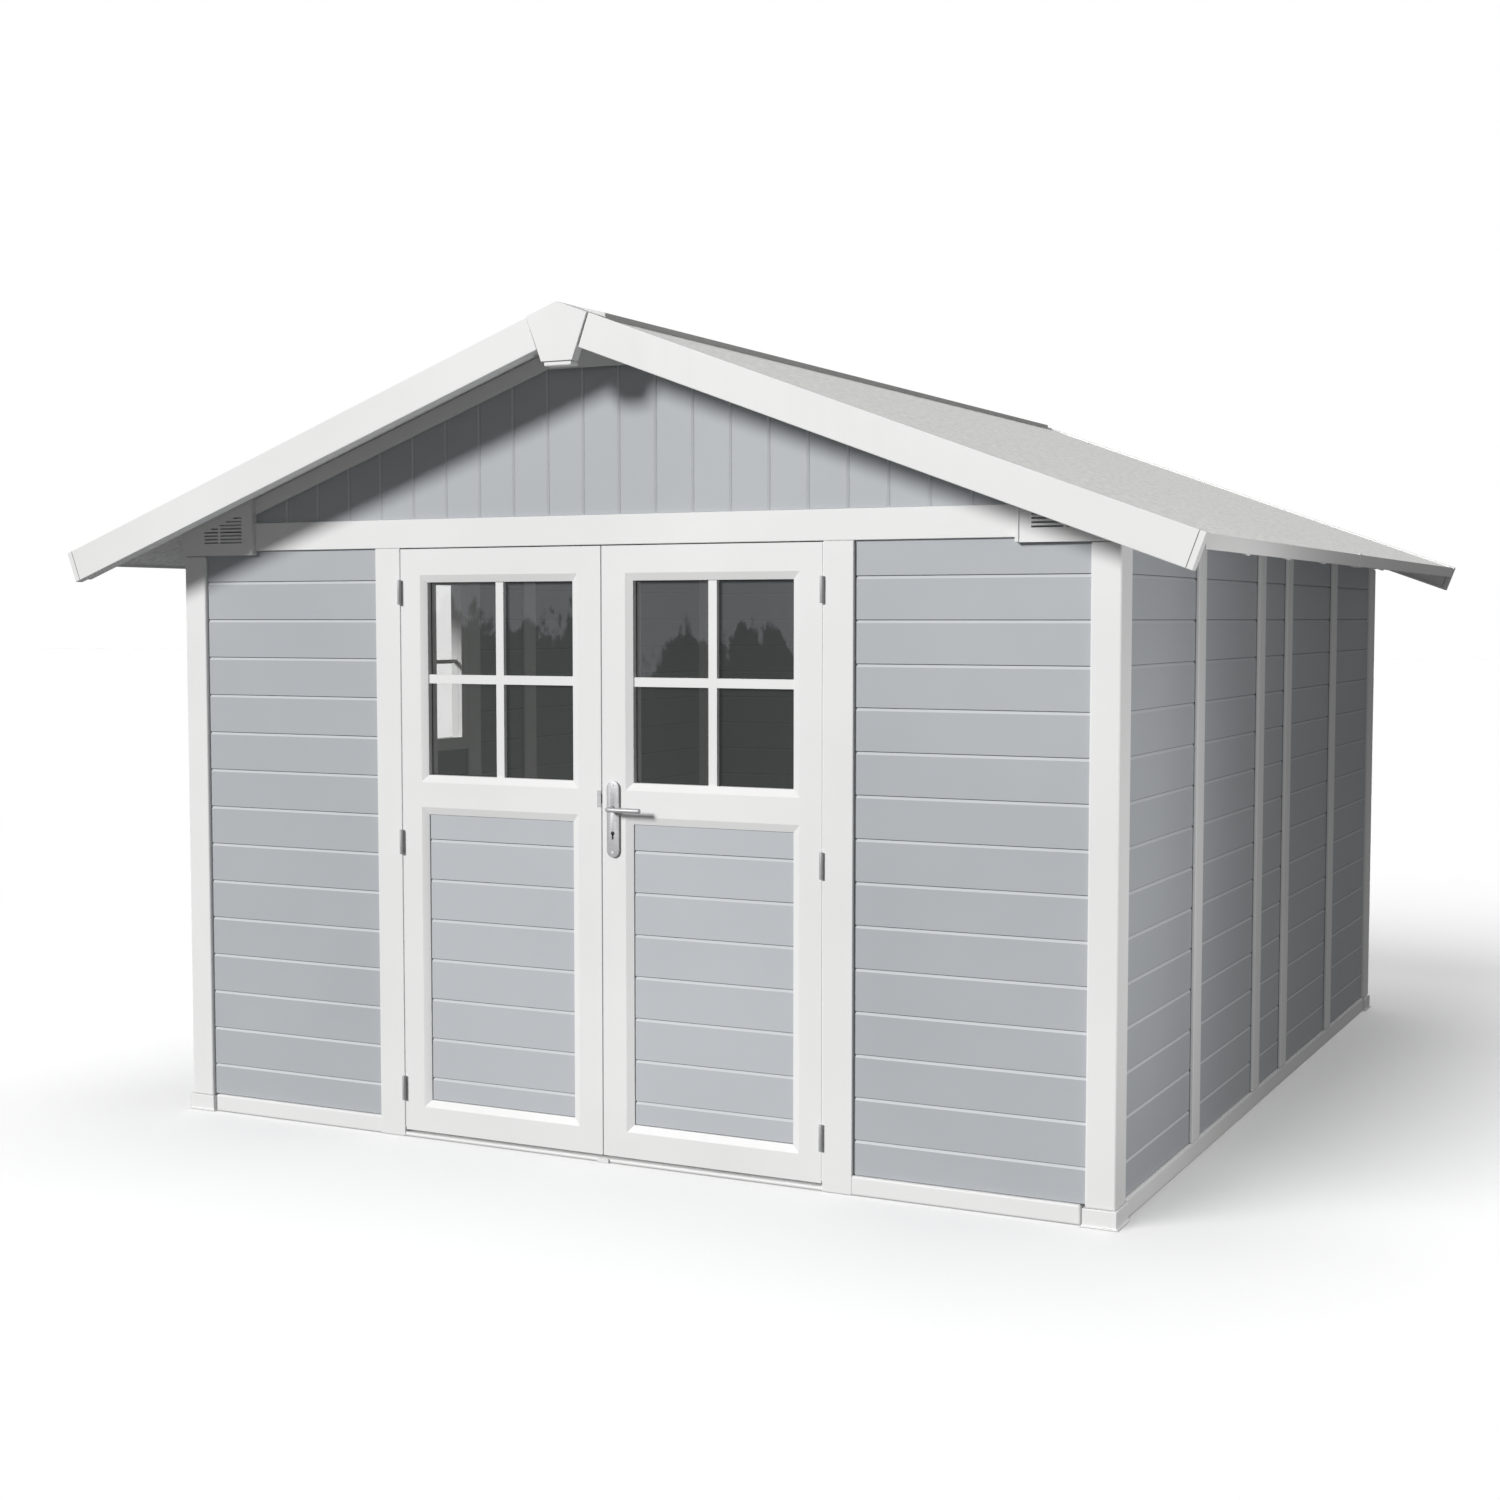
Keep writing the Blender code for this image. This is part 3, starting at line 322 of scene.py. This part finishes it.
def round_edges(piece, width, segments=2, smooth=0):
    """Rounds the sharp edges. Flat boards stay flat; a round piece is smoothed up to an angle."""
    only(piece)
    bevel = piece.modifiers.new("rounding", "BEVEL")
    bevel.width = width
    bevel.segments = segments
    bevel.limit_method = "ANGLE"
    bevel.angle_limit = math.radians(28)
    bevel.use_clamp_overlap = True
    bpy.ops.object.modifier_apply(modifier=bevel.name)
    if smooth:
        bpy.ops.object.shade_smooth_by_angle(angle=math.radians(smooth))


def give(piece, finish, body="shell"):
    """Gives a finished piece its material and the body that it rides on."""
    piece.data.materials.clear()
    piece.data.materials.append(finish)
    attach(piece, body)
    return piece


def paint_joint_highlight_and_shadow(piece, across):
    """Painted highlight on the slanted side of each board joint, painted shadow on the lip that faces
    it.
    """
    piece.data.materials.append(BOARD_EDGE_HIGHLIGHT)
    piece.data.materials.append(JOINT_SHADE)
    area = {1: 0.0, -1: 0.0}
    for face in piece.data.polygons:
        lean = face.normal[across]
        if 0.2 < abs(lean) < 0.95:
            area[1 if lean > 0 else -1] += face.area
    highlight_side = 1 if area[1] > area[-1] else -1
    for face in piece.data.polygons:
        lean = face.normal[across] * highlight_side
        # slot 1 is the painted highlight, slot 2 the painted shadow
        if 0.2 < lean < 0.95:
            face.material_index = 1
        elif lean < -0.2:
            face.material_index = 2


def bare_copy(source, name):
    """A copy of a piece with its own mesh, and with nothing else of the source's."""
    piece = source.copy()
    piece.data = source.data.copy()
    piece.name = name
    for key in list(piece.keys()):
        del piece[key]
    piece.parent = None
    bpy.context.scene.collection.objects.link(piece)
    return piece


def refine(node, finish, width, segments=2, smooth=0, reshape=None):
    """A copy of a CAD piece, merged and given rounded edges, that stands for it."""
    piece = bare_copy(frame["nodes"][node], f"{node}_finished")
    only(piece)
    bpy.ops.object.mode_set(mode="EDIT")
    bpy.ops.mesh.select_all(action="SELECT")
    bpy.ops.mesh.remove_doubles(threshold=0.00002)
    bpy.ops.mesh.dissolve_limited(angle_limit=math.radians(0.5))
    bpy.ops.object.mode_set(mode="OBJECT")
    if reshape:
        reshape(piece)
    round_edges(piece, width, segments, smooth)
    give(piece, finish, BODY_OF[node])
    if finish in (CLADDING, DOOR_CLADDING_PAINTED_LIGHT):
        paint_joint_highlight_and_shadow(piece, 2)
    if finish is GABLE_CLADDING:
        paint_joint_highlight_and_shadow(piece, 0)
    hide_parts(node)
    return piece


def board(name, low, high, finish, body="shell", width=0.0015, tilt=0.0, cuts=()):
    """A straight piece between two corners, tilted about Y, cut by planes, edges rounded."""
    low, high = Vector(low), Vector(high)
    bpy.ops.object.select_all(action="DESELECT")
    bpy.ops.mesh.primitive_cube_add(size=1, location=(low + high) / 2, rotation=(0, tilt, 0))
    piece = bpy.context.object
    piece.name = name
    piece.scale = high - low
    bpy.ops.object.transform_apply(location=True, rotation=True, scale=True)
    for place, normal in cuts:
        cut(piece, place, normal)
    round_edges(piece, width)
    return give(piece, finish, body)


def cut(piece, place, normal):
    """Cuts a piece by a plane and closes it, keeping the side that the normal points away from."""
    only(piece)
    bpy.ops.object.mode_set(mode="EDIT")
    bpy.ops.mesh.select_all(action="SELECT")
    bpy.ops.mesh.bisect(plane_co=place, plane_no=normal, use_fill=True, clear_outer=True)
    bpy.ops.object.mode_set(mode="OBJECT")


def rod(name, centre, radius, length, direction, finish, body="shell", sides=32, width=0.0008):
    """A round piece along X, Y or Z with rounded ends."""
    turn = {"X": (0, math.pi / 2, 0), "Y": (math.pi / 2, 0, 0), "Z": (0, 0, 0)}[direction]
    bpy.ops.object.select_all(action="DESELECT")
    bpy.ops.mesh.primitive_cylinder_add(
        vertices=sides, radius=radius, depth=length, location=centre, rotation=turn
    )
    piece = bpy.context.object
    piece.name = name
    bpy.ops.object.transform_apply(location=True, rotation=True, scale=True)
    round_edges(piece, width, smooth=50)
    return give(piece, finish, body)


def rear_copy(piece, name, finish, body="shell"):
    """The same piece at the rear, mirrored across the middle of the shed."""
    copy = bare_copy(piece, name)
    only(copy)
    copy.scale = (1, -1, 1)
    bpy.ops.object.transform_apply(location=True, rotation=True, scale=True)
    bpy.ops.object.mode_set(mode="EDIT")
    bpy.ops.mesh.select_all(action="SELECT")
    bpy.ops.mesh.normals_make_consistent(inside=False)
    bpy.ops.object.mode_set(mode="OBJECT")
    give(copy, finish, body)
    if finish is GABLE_CLADDING:
        paint_joint_highlight_and_shadow(copy, 0)
    return copy


def under_roof(x):
    """Height of the roof's underside above a place x."""
    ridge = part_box("front_gable")[1].z
    return ridge - SLOPE * abs(x)


# ---------------------------------------------------------------- shell


def finish_frame():
    """Posts, jambs, header, rails, feet and eave trims with soft edges."""
    for side in ("left", "right"):
        refine(f"front_{side}_foot", WHITE, 0.0025)
        refine(f"{side}_base_rail", WHITE, 0.006, 3)
        refine(f"front_{side}_corner_post", WHITE, 0.009, 4)
        refine(f"rear_{side}_corner_post", WHITE, 0.009, 4)
        reach_floor(refine(f"{side}_jamb", WHITE, 0.002))
        rebate_strip(side)
        refine(f"{side}_fascia", WHITE, 0.002)
        for count in range(1, 5):
            refine(f"{side}_post_{count}", WHITE, 0.0035, 3)
    refine("front_base_rail", WHITE, 0.006, 3)
    refine("rear_base_rail", WHITE, 0.006, 3)
    header = refine("front_header", WHITE, 0.002)
    rear_copy(header, "rear_header", WHITE)


def reach_floor(jamb):
    """Draws a jamb's foot down over the base rail to the floor."""
    foot = min(point.co.z for point in jamb.data.vertices)
    for point in jamb.data.vertices:
        if point.co.z < foot + 0.01:
            point.co.z -= foot - 0.0005
        if point.co.y < FRONT_OF_WALLS + 0.01:
            point.co.y -= 0.0005


def rebate_strip(side):
    """A white seal in the gap between a jamb and its leaf."""
    low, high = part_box(f"{side}_jamb")
    edge = low.x if side == "right" else high.x
    way = -1 if side == "right" else 1
    near, far = sorted((edge + way * SEAL_PLAY, edge + way * (SEAL_PLAY + SEAL_WIDTH)))
    board(
        f"{side}_rebate_strip",
        (near, FRONT_OF_WALLS + SEAL_SETBACK, SEAL_BOTTOM),
        (far, FRONT_OF_WALLS + SEAL_BACK, SEAL_TOP),
        WHITE,
        width=0.0004,
    )


def finish_walls():
    for node in ("front_left_wall", "front_right_wall", "left_wall", "right_wall", "rear_wall"):
        refine(node, CLADDING, 0.0014, 2)
    refine("side_window_frame", WHITE, 0.003, 3)
    refine("side_window_glass", GLAZING, 0.0006)


def line_inside(node, axis, way):
    """The boards' inner face: the outer one turned round, with shallower joints, just inside it."""
    low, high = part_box(node)
    inner = high[axis] if way > 0 else low[axis]
    outer = inner - way * BOARD_THICKNESS
    lining = bare_copy(bpy.data.objects[f"{node}_finished"], f"{node}_lining")
    for point in lining.data.vertices:
        depth = (point.co[axis] - outer) * way
        point.co[axis] = inner + way * (LINING_GAP - LINING_SHARE * depth)
    only(lining)
    bpy.ops.object.mode_set(mode="EDIT")
    bpy.ops.mesh.select_all(action="SELECT")
    bpy.ops.mesh.normals_make_consistent(inside=False)
    bpy.ops.object.mode_set(mode="OBJECT")
    give(lining, CLADDING)
    paint_joint_highlight_and_shadow(lining, 2)


def line_walls():
    line_inside("left_wall", 0, 1)
    line_inside("right_wall", 0, -1)
    line_inside("rear_wall", 1, -1)
    line_inside("front_left_wall", 1, 1)
    line_inside("front_right_wall", 1, 1)


def rear_posts():
    """White cover posts over the rear boards."""
    low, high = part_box("rear_wall")
    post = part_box("left_post_1")
    width = post[1].y - post[0].y
    bay = (high.x - low.x - 3 * width) / 4
    for count in (-1, 0, 1):
        middle = count * (bay + width)
        half = width / 2 + REAR_POST_OVERLAP
        near = (middle - half, high.y - REAR_POST_DEPTH, low.z)
        far = (middle + half, high.y + REAR_POST_PROUD, high.z)
        board(f"rear_post_{count + 2}", near, far, WHITE, width=0.0035)


def finish_gables():
    """Upright boards, sloping trims and the apex trim, the same at both ends."""
    gable = refine("front_gable", GABLE_CLADDING, 0.0014)
    rear = rear_copy(gable, "rear_gable_boards", GABLE_CLADDING)
    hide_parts("rear_gable")
    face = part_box("front_gable")[0].y
    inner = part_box("front_right_vent_cover")[0].x
    for side_name, side in (("left", -1), ("right", 1)):
        length = (inner + TRIM_SLACK) / math.cos(TILT)
        middle_x = side * inner / 2
        middle_z = under_roof(middle_x) - TRIM_DROP / 2 / math.cos(TILT) - TRIM_UNDER_ROOF
        trim = board(
            f"front_{side_name}_rake_trim",
            (middle_x - length / 2, face - TRIM_GAP - TRIM_THICKNESS, middle_z - TRIM_DROP / 2),
            (middle_x + length / 2, face - TRIM_GAP, middle_z + TRIM_DROP / 2),
            WHITE,
            tilt=side * TILT,
            cuts=[
                ((0, 0, 0), (-side, 0, 0)),
                ((side * (inner - 0.001), 0, 0), (side, 0, 0)),
            ],
        )
        rear_copy(trim, f"rear_{side_name}_rake_trim", WHITE)
    peak = board(
        "front_apex_trim",
        (-APEX_HALF_WIDTH, face - APEX_FRONT, APEX_BOTTOM),
        (APEX_HALF_WIDTH, face - APEX_BACK, APEX_TOP),
        WHITE,
        width=0.0008,
        cuts=[
            ((0, 0, under_roof(0) - TRIM_DROP), (SLOPE, 0, 1)),
            ((0, 0, under_roof(0) - TRIM_DROP), (-SLOPE, 0, 1)),
        ],
    )
    rear_copy(peak, "rear_apex_trim", WHITE)


def finish_vents():
    """Corner vent covers with a rib down the inner edge, and a block behind each rear one."""
    for side_name, side in (("left", -1), ("right", 1)):
        cover = refine(f"front_{side_name}_vent_cover", WHITE, 0.0009)
        rear_copy(cover, f"rear_{side_name}_vent_cover", WHITE)
        low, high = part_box(f"front_{side_name}_vent_cover")
        inner = low.x if side > 0 else high.x
        left, right = sorted((inner, inner + side * VENT_RIB_WIDTH))
        rib = board(
            f"front_{side_name}_vent_rib",
            (left, low.y - VENT_RIB_PROUD, low.z + 0.0005),
            (right, low.y + VENT_RIB_BACK, under_roof(inner) - VENT_RIB_UNDER_ROOF),
            WHITE,
        )
        rear_copy(rib, f"rear_{side_name}_vent_rib", WHITE)
        post_low, post_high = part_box(f"rear_{side_name}_corner_post")
        board(
            f"rear_{side_name}_corner_block",
            (post_low.x, CORNER_BLOCK_FRONT, low.z + 0.0005),
            (post_high.x, CORNER_BLOCK_BACK, post_high.z),
            WHITE,
        )


def inner_posts():
    """The inner halves of the posts, and the wall plates under the roof's edge."""
    for side_name, side in (("left", -1), ("right", 1)):
        for count in range(1, 5):
            low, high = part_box(f"{side_name}_post_{count}")
            near, far = sorted((side * INNER_FACE, side * (INNER_FACE - INNER_POST_THICKNESS)))
            board(
                f"{side_name}_inner_post_{count}",
                (near, low.y, low.z),
                (far, high.y, high.z - INNER_POST_SHORT),
                WHITE,
                width=0.003,
            )
        near, far = sorted((side * INNER_FACE, side * (INNER_FACE - WALL_PLATE_WIDTH)))
        top = under_roof(INNER_FACE) - WALL_PLATE_DROP
        board(
            f"{side_name}_wall_plate",
            (near, -WALL_PLATE_END, top - WALL_PLATE_HEIGHT),
            (far, WALL_PLATE_END, top),
            WHITE,
            width=0.003,
        )


# ---------------------------------------------------------------- roof


def finish_roof():
    """Grainy panels, ridge cap, bargeboards with lips and end caps, and key pieces."""
    for side_name, side in (("left", -1), ("right", 1)):
        refine(f"{side_name}_roof_panel", ROOFING, 0.002)
        fascia_joint(side_name, side)
        roof_battens(side_name, side)
        for end_name, end in (("front", -1), ("rear", 1)):
            barge = refine(f"{end_name}_{side_name}_bargeboard", WHITE, 0.0025, 3)
            split_end_cap(barge, f"{end_name}_{side_name}_end_cap", side)
            bargeboard_lip(end_name, end, side_name, side)
    refine("ridge_cap", RIDGE_CAP_PAINTED_SHADE, 0.0012, reshape=raise_cap_edges)
    for end_name, end in (("front", -1), ("rear", 1)):
        refine(f"{end_name}_key_piece", WHITE, 0.002)
        key_piece_foot(end_name, end)
    refine("ridge_beam", WHITE, 0.003)


def raise_cap_edges(cap):
    """Gives the ridge cap its upright lips, which stand clear of the roof sheet."""
    edge = max(point.co.x for point in cap.data.vertices)
    rims = [point for point in cap.data.vertices if abs(point.co.x) > edge - CAP_RIM]
    middle = (max(rim.co.z for rim in rims) + min(rim.co.z for rim in rims)) / 2
    for rim in rims:
        if rim.co.z > middle:
            rim.co.z += CAP_LIP


def key_piece_foot(end_name, end):
    """The set-back lower lip under a key piece."""
    low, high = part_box(f"{end_name}_key_piece")
    outer = low.y if end < 0 else high.y
    near, far = sorted((outer - end * KEY_FOOT_SETBACK, outer - end * KEY_FOOT_BACK))
    board(
        f"{end_name}_key_piece_foot",
        (-KEY_FOOT_HALF_WIDTH, near, low.z - KEY_FOOT_HEIGHT),
        (KEY_FOOT_HALF_WIDTH, far, low.z - 0.0004),
        WHITE,
        width=0.003,
    )


def split_end_cap(barge, name, side):
    """Parts the last bit of a bargeboard as its end cap, with a fine seam between them."""
    along = Vector((side * math.cos(TILT), 0, -math.sin(TILT)))
    tip = max(point.co.dot(along) for point in barge.data.vertices)
    cap = bare_copy(barge, name)
    cut(cap, along * (tip - END_CAP_LENGTH), -along)
    cut(barge, along * (tip - END_CAP_LENGTH - END_CAP_SEAM), along)
    give(cap, WHITE)


def fascia_joint(side_name, side):
    """The clip over the joint between the two lengths of eave trim."""
    low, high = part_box(f"{side_name}_fascia")
    outer = max(abs(low.x), abs(high.x)) + CLIP_PROUD
    inner = abs(low.x) - CLIP_LAP
    near, far = sorted((side * outer, side * inner))
    board(
        f"{side_name}_fascia_clip",
        (near, -CLIP_HALF_LENGTH, low.z - CLIP_DROP),
        (far, CLIP_HALF_LENGTH, high.z + CLIP_PROUD),
        WHITE,
        width=0.001,
    )


def roof_battens(side_name, side):
    """Ribs under a roof panel, across the slope, between the walls and out to the eaves."""
    low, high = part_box(f"{side_name}_fascia")
    eave = min(abs(low.x), abs(high.x)) - BATTEN_FROM_EAVE
    length = (eave - BATTEN_FROM_RIDGE) / math.cos(TILT)
    middle_x = side * (BATTEN_FROM_RIDGE + eave) / 2
    middle_z = under_roof(middle_x) - BATTEN_UNDER_ROOF
    for count in range(BATTEN_COUNT):
        y = (count - (BATTEN_COUNT - 1) / 2) * BATTEN_PITCH
        board(
            f"{side_name}_roof_batten_{count + 1}",
            (middle_x - length / 2, y - BATTEN_HALF_WIDTH, middle_z - BATTEN_HALF_THICKNESS),
            (middle_x + length / 2, y + BATTEN_HALF_WIDTH, middle_z + BATTEN_HALF_THICKNESS),
            WHITE,
            tilt=side * TILT,
        )


def bargeboard_lip(end_name, end, side_name, side):
    """The turned-in lip along a bargeboard's lower edge."""
    low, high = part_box(f"{end_name}_{side_name}_bargeboard")
    stop = max(abs(low.x), abs(high.x)) - LIP_FROM_TIP
    length = (stop - LIP_START) / math.cos(TILT)
    middle_x = side * (LIP_START + stop) / 2
    middle_z = high.z - SLOPE * (abs(middle_x) - BARGE_START) - LIP_BELOW_TOP
    inner = high.y if end < 0 else low.y
    near, far = sorted((inner, inner - end * LIP_WIDTH))
    board(
        f"{end_name}_{side_name}_bargeboard_lip",
        (middle_x - length / 2, near, middle_z - LIP_HALF_THICKNESS),
        (middle_x + length / 2, far, middle_z + LIP_HALF_THICKNESS),
        WHITE,
        tilt=side * TILT,
        width=0.001,
    )


# ---------------------------------------------------------------- doors


def finish_doors():
    """Leaves, panels, glass, black strips of painted shadow round the glass, hinges and the small
    parts round the meeting line.
    """
    for side_name in ("left", "right"):
        body = f"{side_name}_door"
        refine(f"{side_name}_door_leaf", WHITE, 0.0016)
        refine(f"{side_name}_door_lower_panel", DOOR_CLADDING_PAINTED_LIGHT, 0.0014)
        refine(f"{side_name}_door_glass", GLAZING, 0.0006)
        reveal_shadow_strips(f"{side_name}_door_glass", body)
        for place in ("top", "middle", "bottom"):
            hinge = f"{side_name}_hinge_{place}"
            refine(hinge, ZINC, 0.0004, smooth=40)
            hinge_rings(hinge)
    meeting_parts()


def reveal_shadow_strips(glass, body):
    """Black strips round the outer face of a pane: painted shadow standing in for the shade in the
    glass reveal.
    """
    low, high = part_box(glass)
    face = low.y - GLASS_GAP
    inside_low, inside_high = low.z + GLASS_BEAD, high.z - GLASS_BEAD
    edges = {
        "bottom": ((low.x, low.z), (high.x, inside_low)),
        "top": ((low.x, inside_high), (high.x, high.z)),
        "left": ((low.x, inside_low), (low.x + GLASS_BEAD, inside_high)),
        "right": ((high.x - GLASS_BEAD, inside_low), (high.x, inside_high)),
    }
    for edge, (near, far) in edges.items():
        board(
            f"{glass}_seal_{edge}",
            (near[0], face - GLASS_BEAD, near[1]),
            (far[0], face, far[1]),
            PAINTED_SHADE_BLACK,
            body,
            width=0.0008,
        )


def hinge_rings(hinge):
    """The two bearing rings on a hinge barrel."""
    low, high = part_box(hinge)
    radius = (high.x - low.x) / 2
    for count, share in enumerate(RING_SHARES):
        rod(
            f"{hinge}_ring_{count + 1}",
            (low.x + radius, low.y + radius, low.z + (high.z - low.z) * share),
            radius + RING_PROUD,
            RING_THICKNESS,
            "Z",
            ALUMINIUM,
            sides=24,
            width=0.0003,
        )


def meeting_parts():
    """Stop block on the threshold, strike lip and inside cover strip of the meeting line."""
    low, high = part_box("left_door_leaf")
    board(
        "threshold_stop",
        (-STOP_LEFT, FRONT_OF_WALLS - STOP_PROUD, 0.0),
        (STOP_RIGHT, FRONT_OF_WALLS + 0.0006, STOP_HEIGHT),
        WHITE,
        width=0.001,
    )
    board(
        "strike_lip",
        (high.x - STRIKE_WIDTH, low.y - STRIKE_THICKNESS, STRIKE_BOTTOM),
        (high.x - 0.0002, low.y - 0.0001, STRIKE_TOP),
        ALUMINIUM,
        "left_door",
        width=0.0004,
    )
    board(
        "meeting_cover_strip",
        (high.x - COVER_STRIP_WIDTH - 0.001, high.y + 0.0003, low.z + COVER_STRIP_END),
        (high.x - 0.001, high.y + COVER_STRIP_BACK, high.z - COVER_STRIP_END),
        WHITE,
        "left_door",
        width=0.0015,
    )


# ---------------------------------------------------------------- handle


def finish_handle():
    """Long plate with screws and a keyhole outside, its twin inside, and the lever."""
    plate = refine("handle_plate", ALUMINIUM, 0.0016, 3, smooth=20)
    refine("latch_bolt", ALUMINIUM, 0.001)
    refine("lever_handle", ALUMINIUM, 0.0012, smooth=60)
    low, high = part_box("handle_plate")
    centre_x = (low.x + high.x) / 2
    leaf_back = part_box("right_door_leaf")[1].y
    inner = bare_copy(plate, "inner_handle_plate")
    only(inner)
    bpy.ops.transform.translate(value=(0, leaf_back + INNER_PLATE_GAP - low.y, 0))
    bpy.ops.object.transform_apply(location=True, rotation=True, scale=True)
    give(inner, ALUMINIUM, "right_door")
    for place, height in (("top", high.z - SCREW_FROM_TOP), ("bottom", low.z + SCREW_FROM_BOTTOM)):
        rod(
            f"plate_screw_{place}",
            (centre_x, low.y - 0.0004, height),
            SCREW_RADIUS,
            SCREW_HEAD,
            "Y",
            WHITE,
            "right_door",
            width=0.0004,
        )
    # painted shade: the keyhole's round and slot are flat black pieces standing in for the dark inside
    # of the hole
    rod(
        "keyhole_round",
        (centre_x, low.y - 0.0001, KEYHOLE_HEIGHT),
        KEYHOLE_RADIUS,
        KEYHOLE_DEPTH,
        "Y",
        PAINTED_SHADE_BLACK,
        "right_door",
        width=0.0002,
    )
    board(
        "keyhole_slot",
        (centre_x - KEYHOLE_HALF_WIDTH, low.y - 0.0005, KEYHOLE_BOTTOM),
        (centre_x + KEYHOLE_HALF_WIDTH, low.y + 0.0003, KEYHOLE_TOP),
        PAINTED_SHADE_BLACK,
        "right_door",
        width=0.0002,
    )


# ---------------------------------------------------------------- studio


def studio_floor():
    """A pale floor that glows a little, as a lit studio sweep does."""
    bpy.ops.object.select_all(action="DESELECT")
    bpy.ops.mesh.primitive_plane_add(size=160, location=(0, 0, -0.0005))
    floor = bpy.context.object
    floor.name = "studio_floor"
    bpy.ops.object.transform_apply(location=True, rotation=True, scale=True)
    finish, tree, shader = new_finish("pale_floor", 0.9)
    clouds = noise_on(tree, (1, 1, 1), 0.6, 2.0)
    tint = colour_between(tree, clouds, (0.89, 0.89, 0.89), (0.90, 0.90, 0.90))
    tree.links.new(tint.outputs["Color"], shader.inputs["Base Color"])
    shader.inputs["Specular IOR Level"].default_value = 0.0
    shader.inputs["Emission Color"].default_value = (1, 1, 1, 1)
    shader.inputs["Emission Strength"].default_value = 0.13
    floor.data.materials.append(finish)
    floor.visible_diffuse = False
    floor.visible_glossy = False
    return floor


def studio_sky():
    """A white surround to look at, and a dimmer even light from it."""
    world = bpy.data.worlds.new("studio")
    bpy.context.scene.world = world
    world.use_nodes = True
    tree = world.node_tree
    fill = tree.nodes["Background"]
    fill.inputs["Color"].default_value = (1, 1, 1, 1)
    fill.inputs["Strength"].default_value = 0.17
    surround = tree.nodes.new("ShaderNodeBackground")
    surround.inputs["Color"].default_value = (1, 1, 1, 1)
    surround.inputs["Strength"].default_value = 1.0
    seen = tree.nodes.new("ShaderNodeLightPath")
    choose = tree.nodes.new("ShaderNodeMixShader")
    tree.links.new(seen.outputs["Is Camera Ray"], choose.inputs["Fac"])
    tree.links.new(fill.outputs["Background"], choose.inputs[1])
    tree.links.new(surround.outputs["Background"], choose.inputs[2])
    tree.links.new(choose.outputs["Shader"], tree.nodes["World Output"].inputs["Surface"])


def lamp(name, kind, place, towards):
    """A light at a place, shining the opposite way to the direction given."""
    light = bpy.data.lights.new(name, kind)
    holder = bpy.data.objects.new(name, light)
    holder.location = place
    holder.rotation_euler = Vector(towards).to_track_quat("Z", "Y").to_euler()
    bpy.context.scene.collection.objects.link(holder)
    return holder


def lit_pieces(holder, floor, only_floor):
    """Keeps a light to the floor, or off it."""
    group = bpy.data.collections.new(f"{holder.name}_pieces")
    group.objects.link(floor)
    holder.light_linking.receiver_collection = group
    if not only_floor:
        group.collection_objects[0].light_linking.link_state = "EXCLUDE"


def studio_light(floor):
    """A soft key from the front left, a top light, a floor light and a fill by the near corner."""
    key = lamp("key_light", "SUN", (-5, -11, 5), (-0.382, -0.858, 0.342))
    key.data.energy = 2.85
    key.data.angle = math.radians(13)
    lit_pieces(key, floor, False)
    top = lamp("top_light", "SUN", (0, 0, 12), (0.0, 0.12, 1.0))
    top.data.energy = 1.3
    top.data.angle = math.radians(45)
    sweep = lamp("floor_light", "SUN", (-3, -6, 8), (-0.30, -0.66, 0.69))
    sweep.data.energy = 1.8
    sweep.data.angle = math.radians(42)
    lit_pieces(sweep, floor, True)
    fill = lamp("corner_fill", "AREA", (2.9, -1.72, 0.95), (1, 0, 0))
    fill.data.shape = "RECTANGLE"
    fill.data.size = 0.12
    fill.data.size_y = 1.6
    fill.data.energy = 12
    fill.visible_camera = False
    fill.visible_glossy = False
    lit_pieces(fill, floor, False)


def studio_camera():
    camera = bpy.data.cameras.new("studio_camera")
    camera.lens = 50.66
    camera.sensor_width = 36
    holder = bpy.data.objects.new("studio_camera", camera)
    holder.location = (3.181, -7.186, 1.626)
    holder.rotation_euler = (math.radians(86.429), 0, math.radians(26.575))
    bpy.context.scene.collection.objects.link(holder)
    bpy.context.scene.camera = holder


# ---------------------------------------------------------------- everything

bpy.context.scene.view_settings.view_transform = "Standard"
studio_camera()
studio_sky()
studio_light(studio_floor())
finish_frame()
finish_walls()
line_walls()
rear_posts()
finish_gables()
finish_vents()
inner_posts()
finish_roof()
finish_doors()
finish_handle()
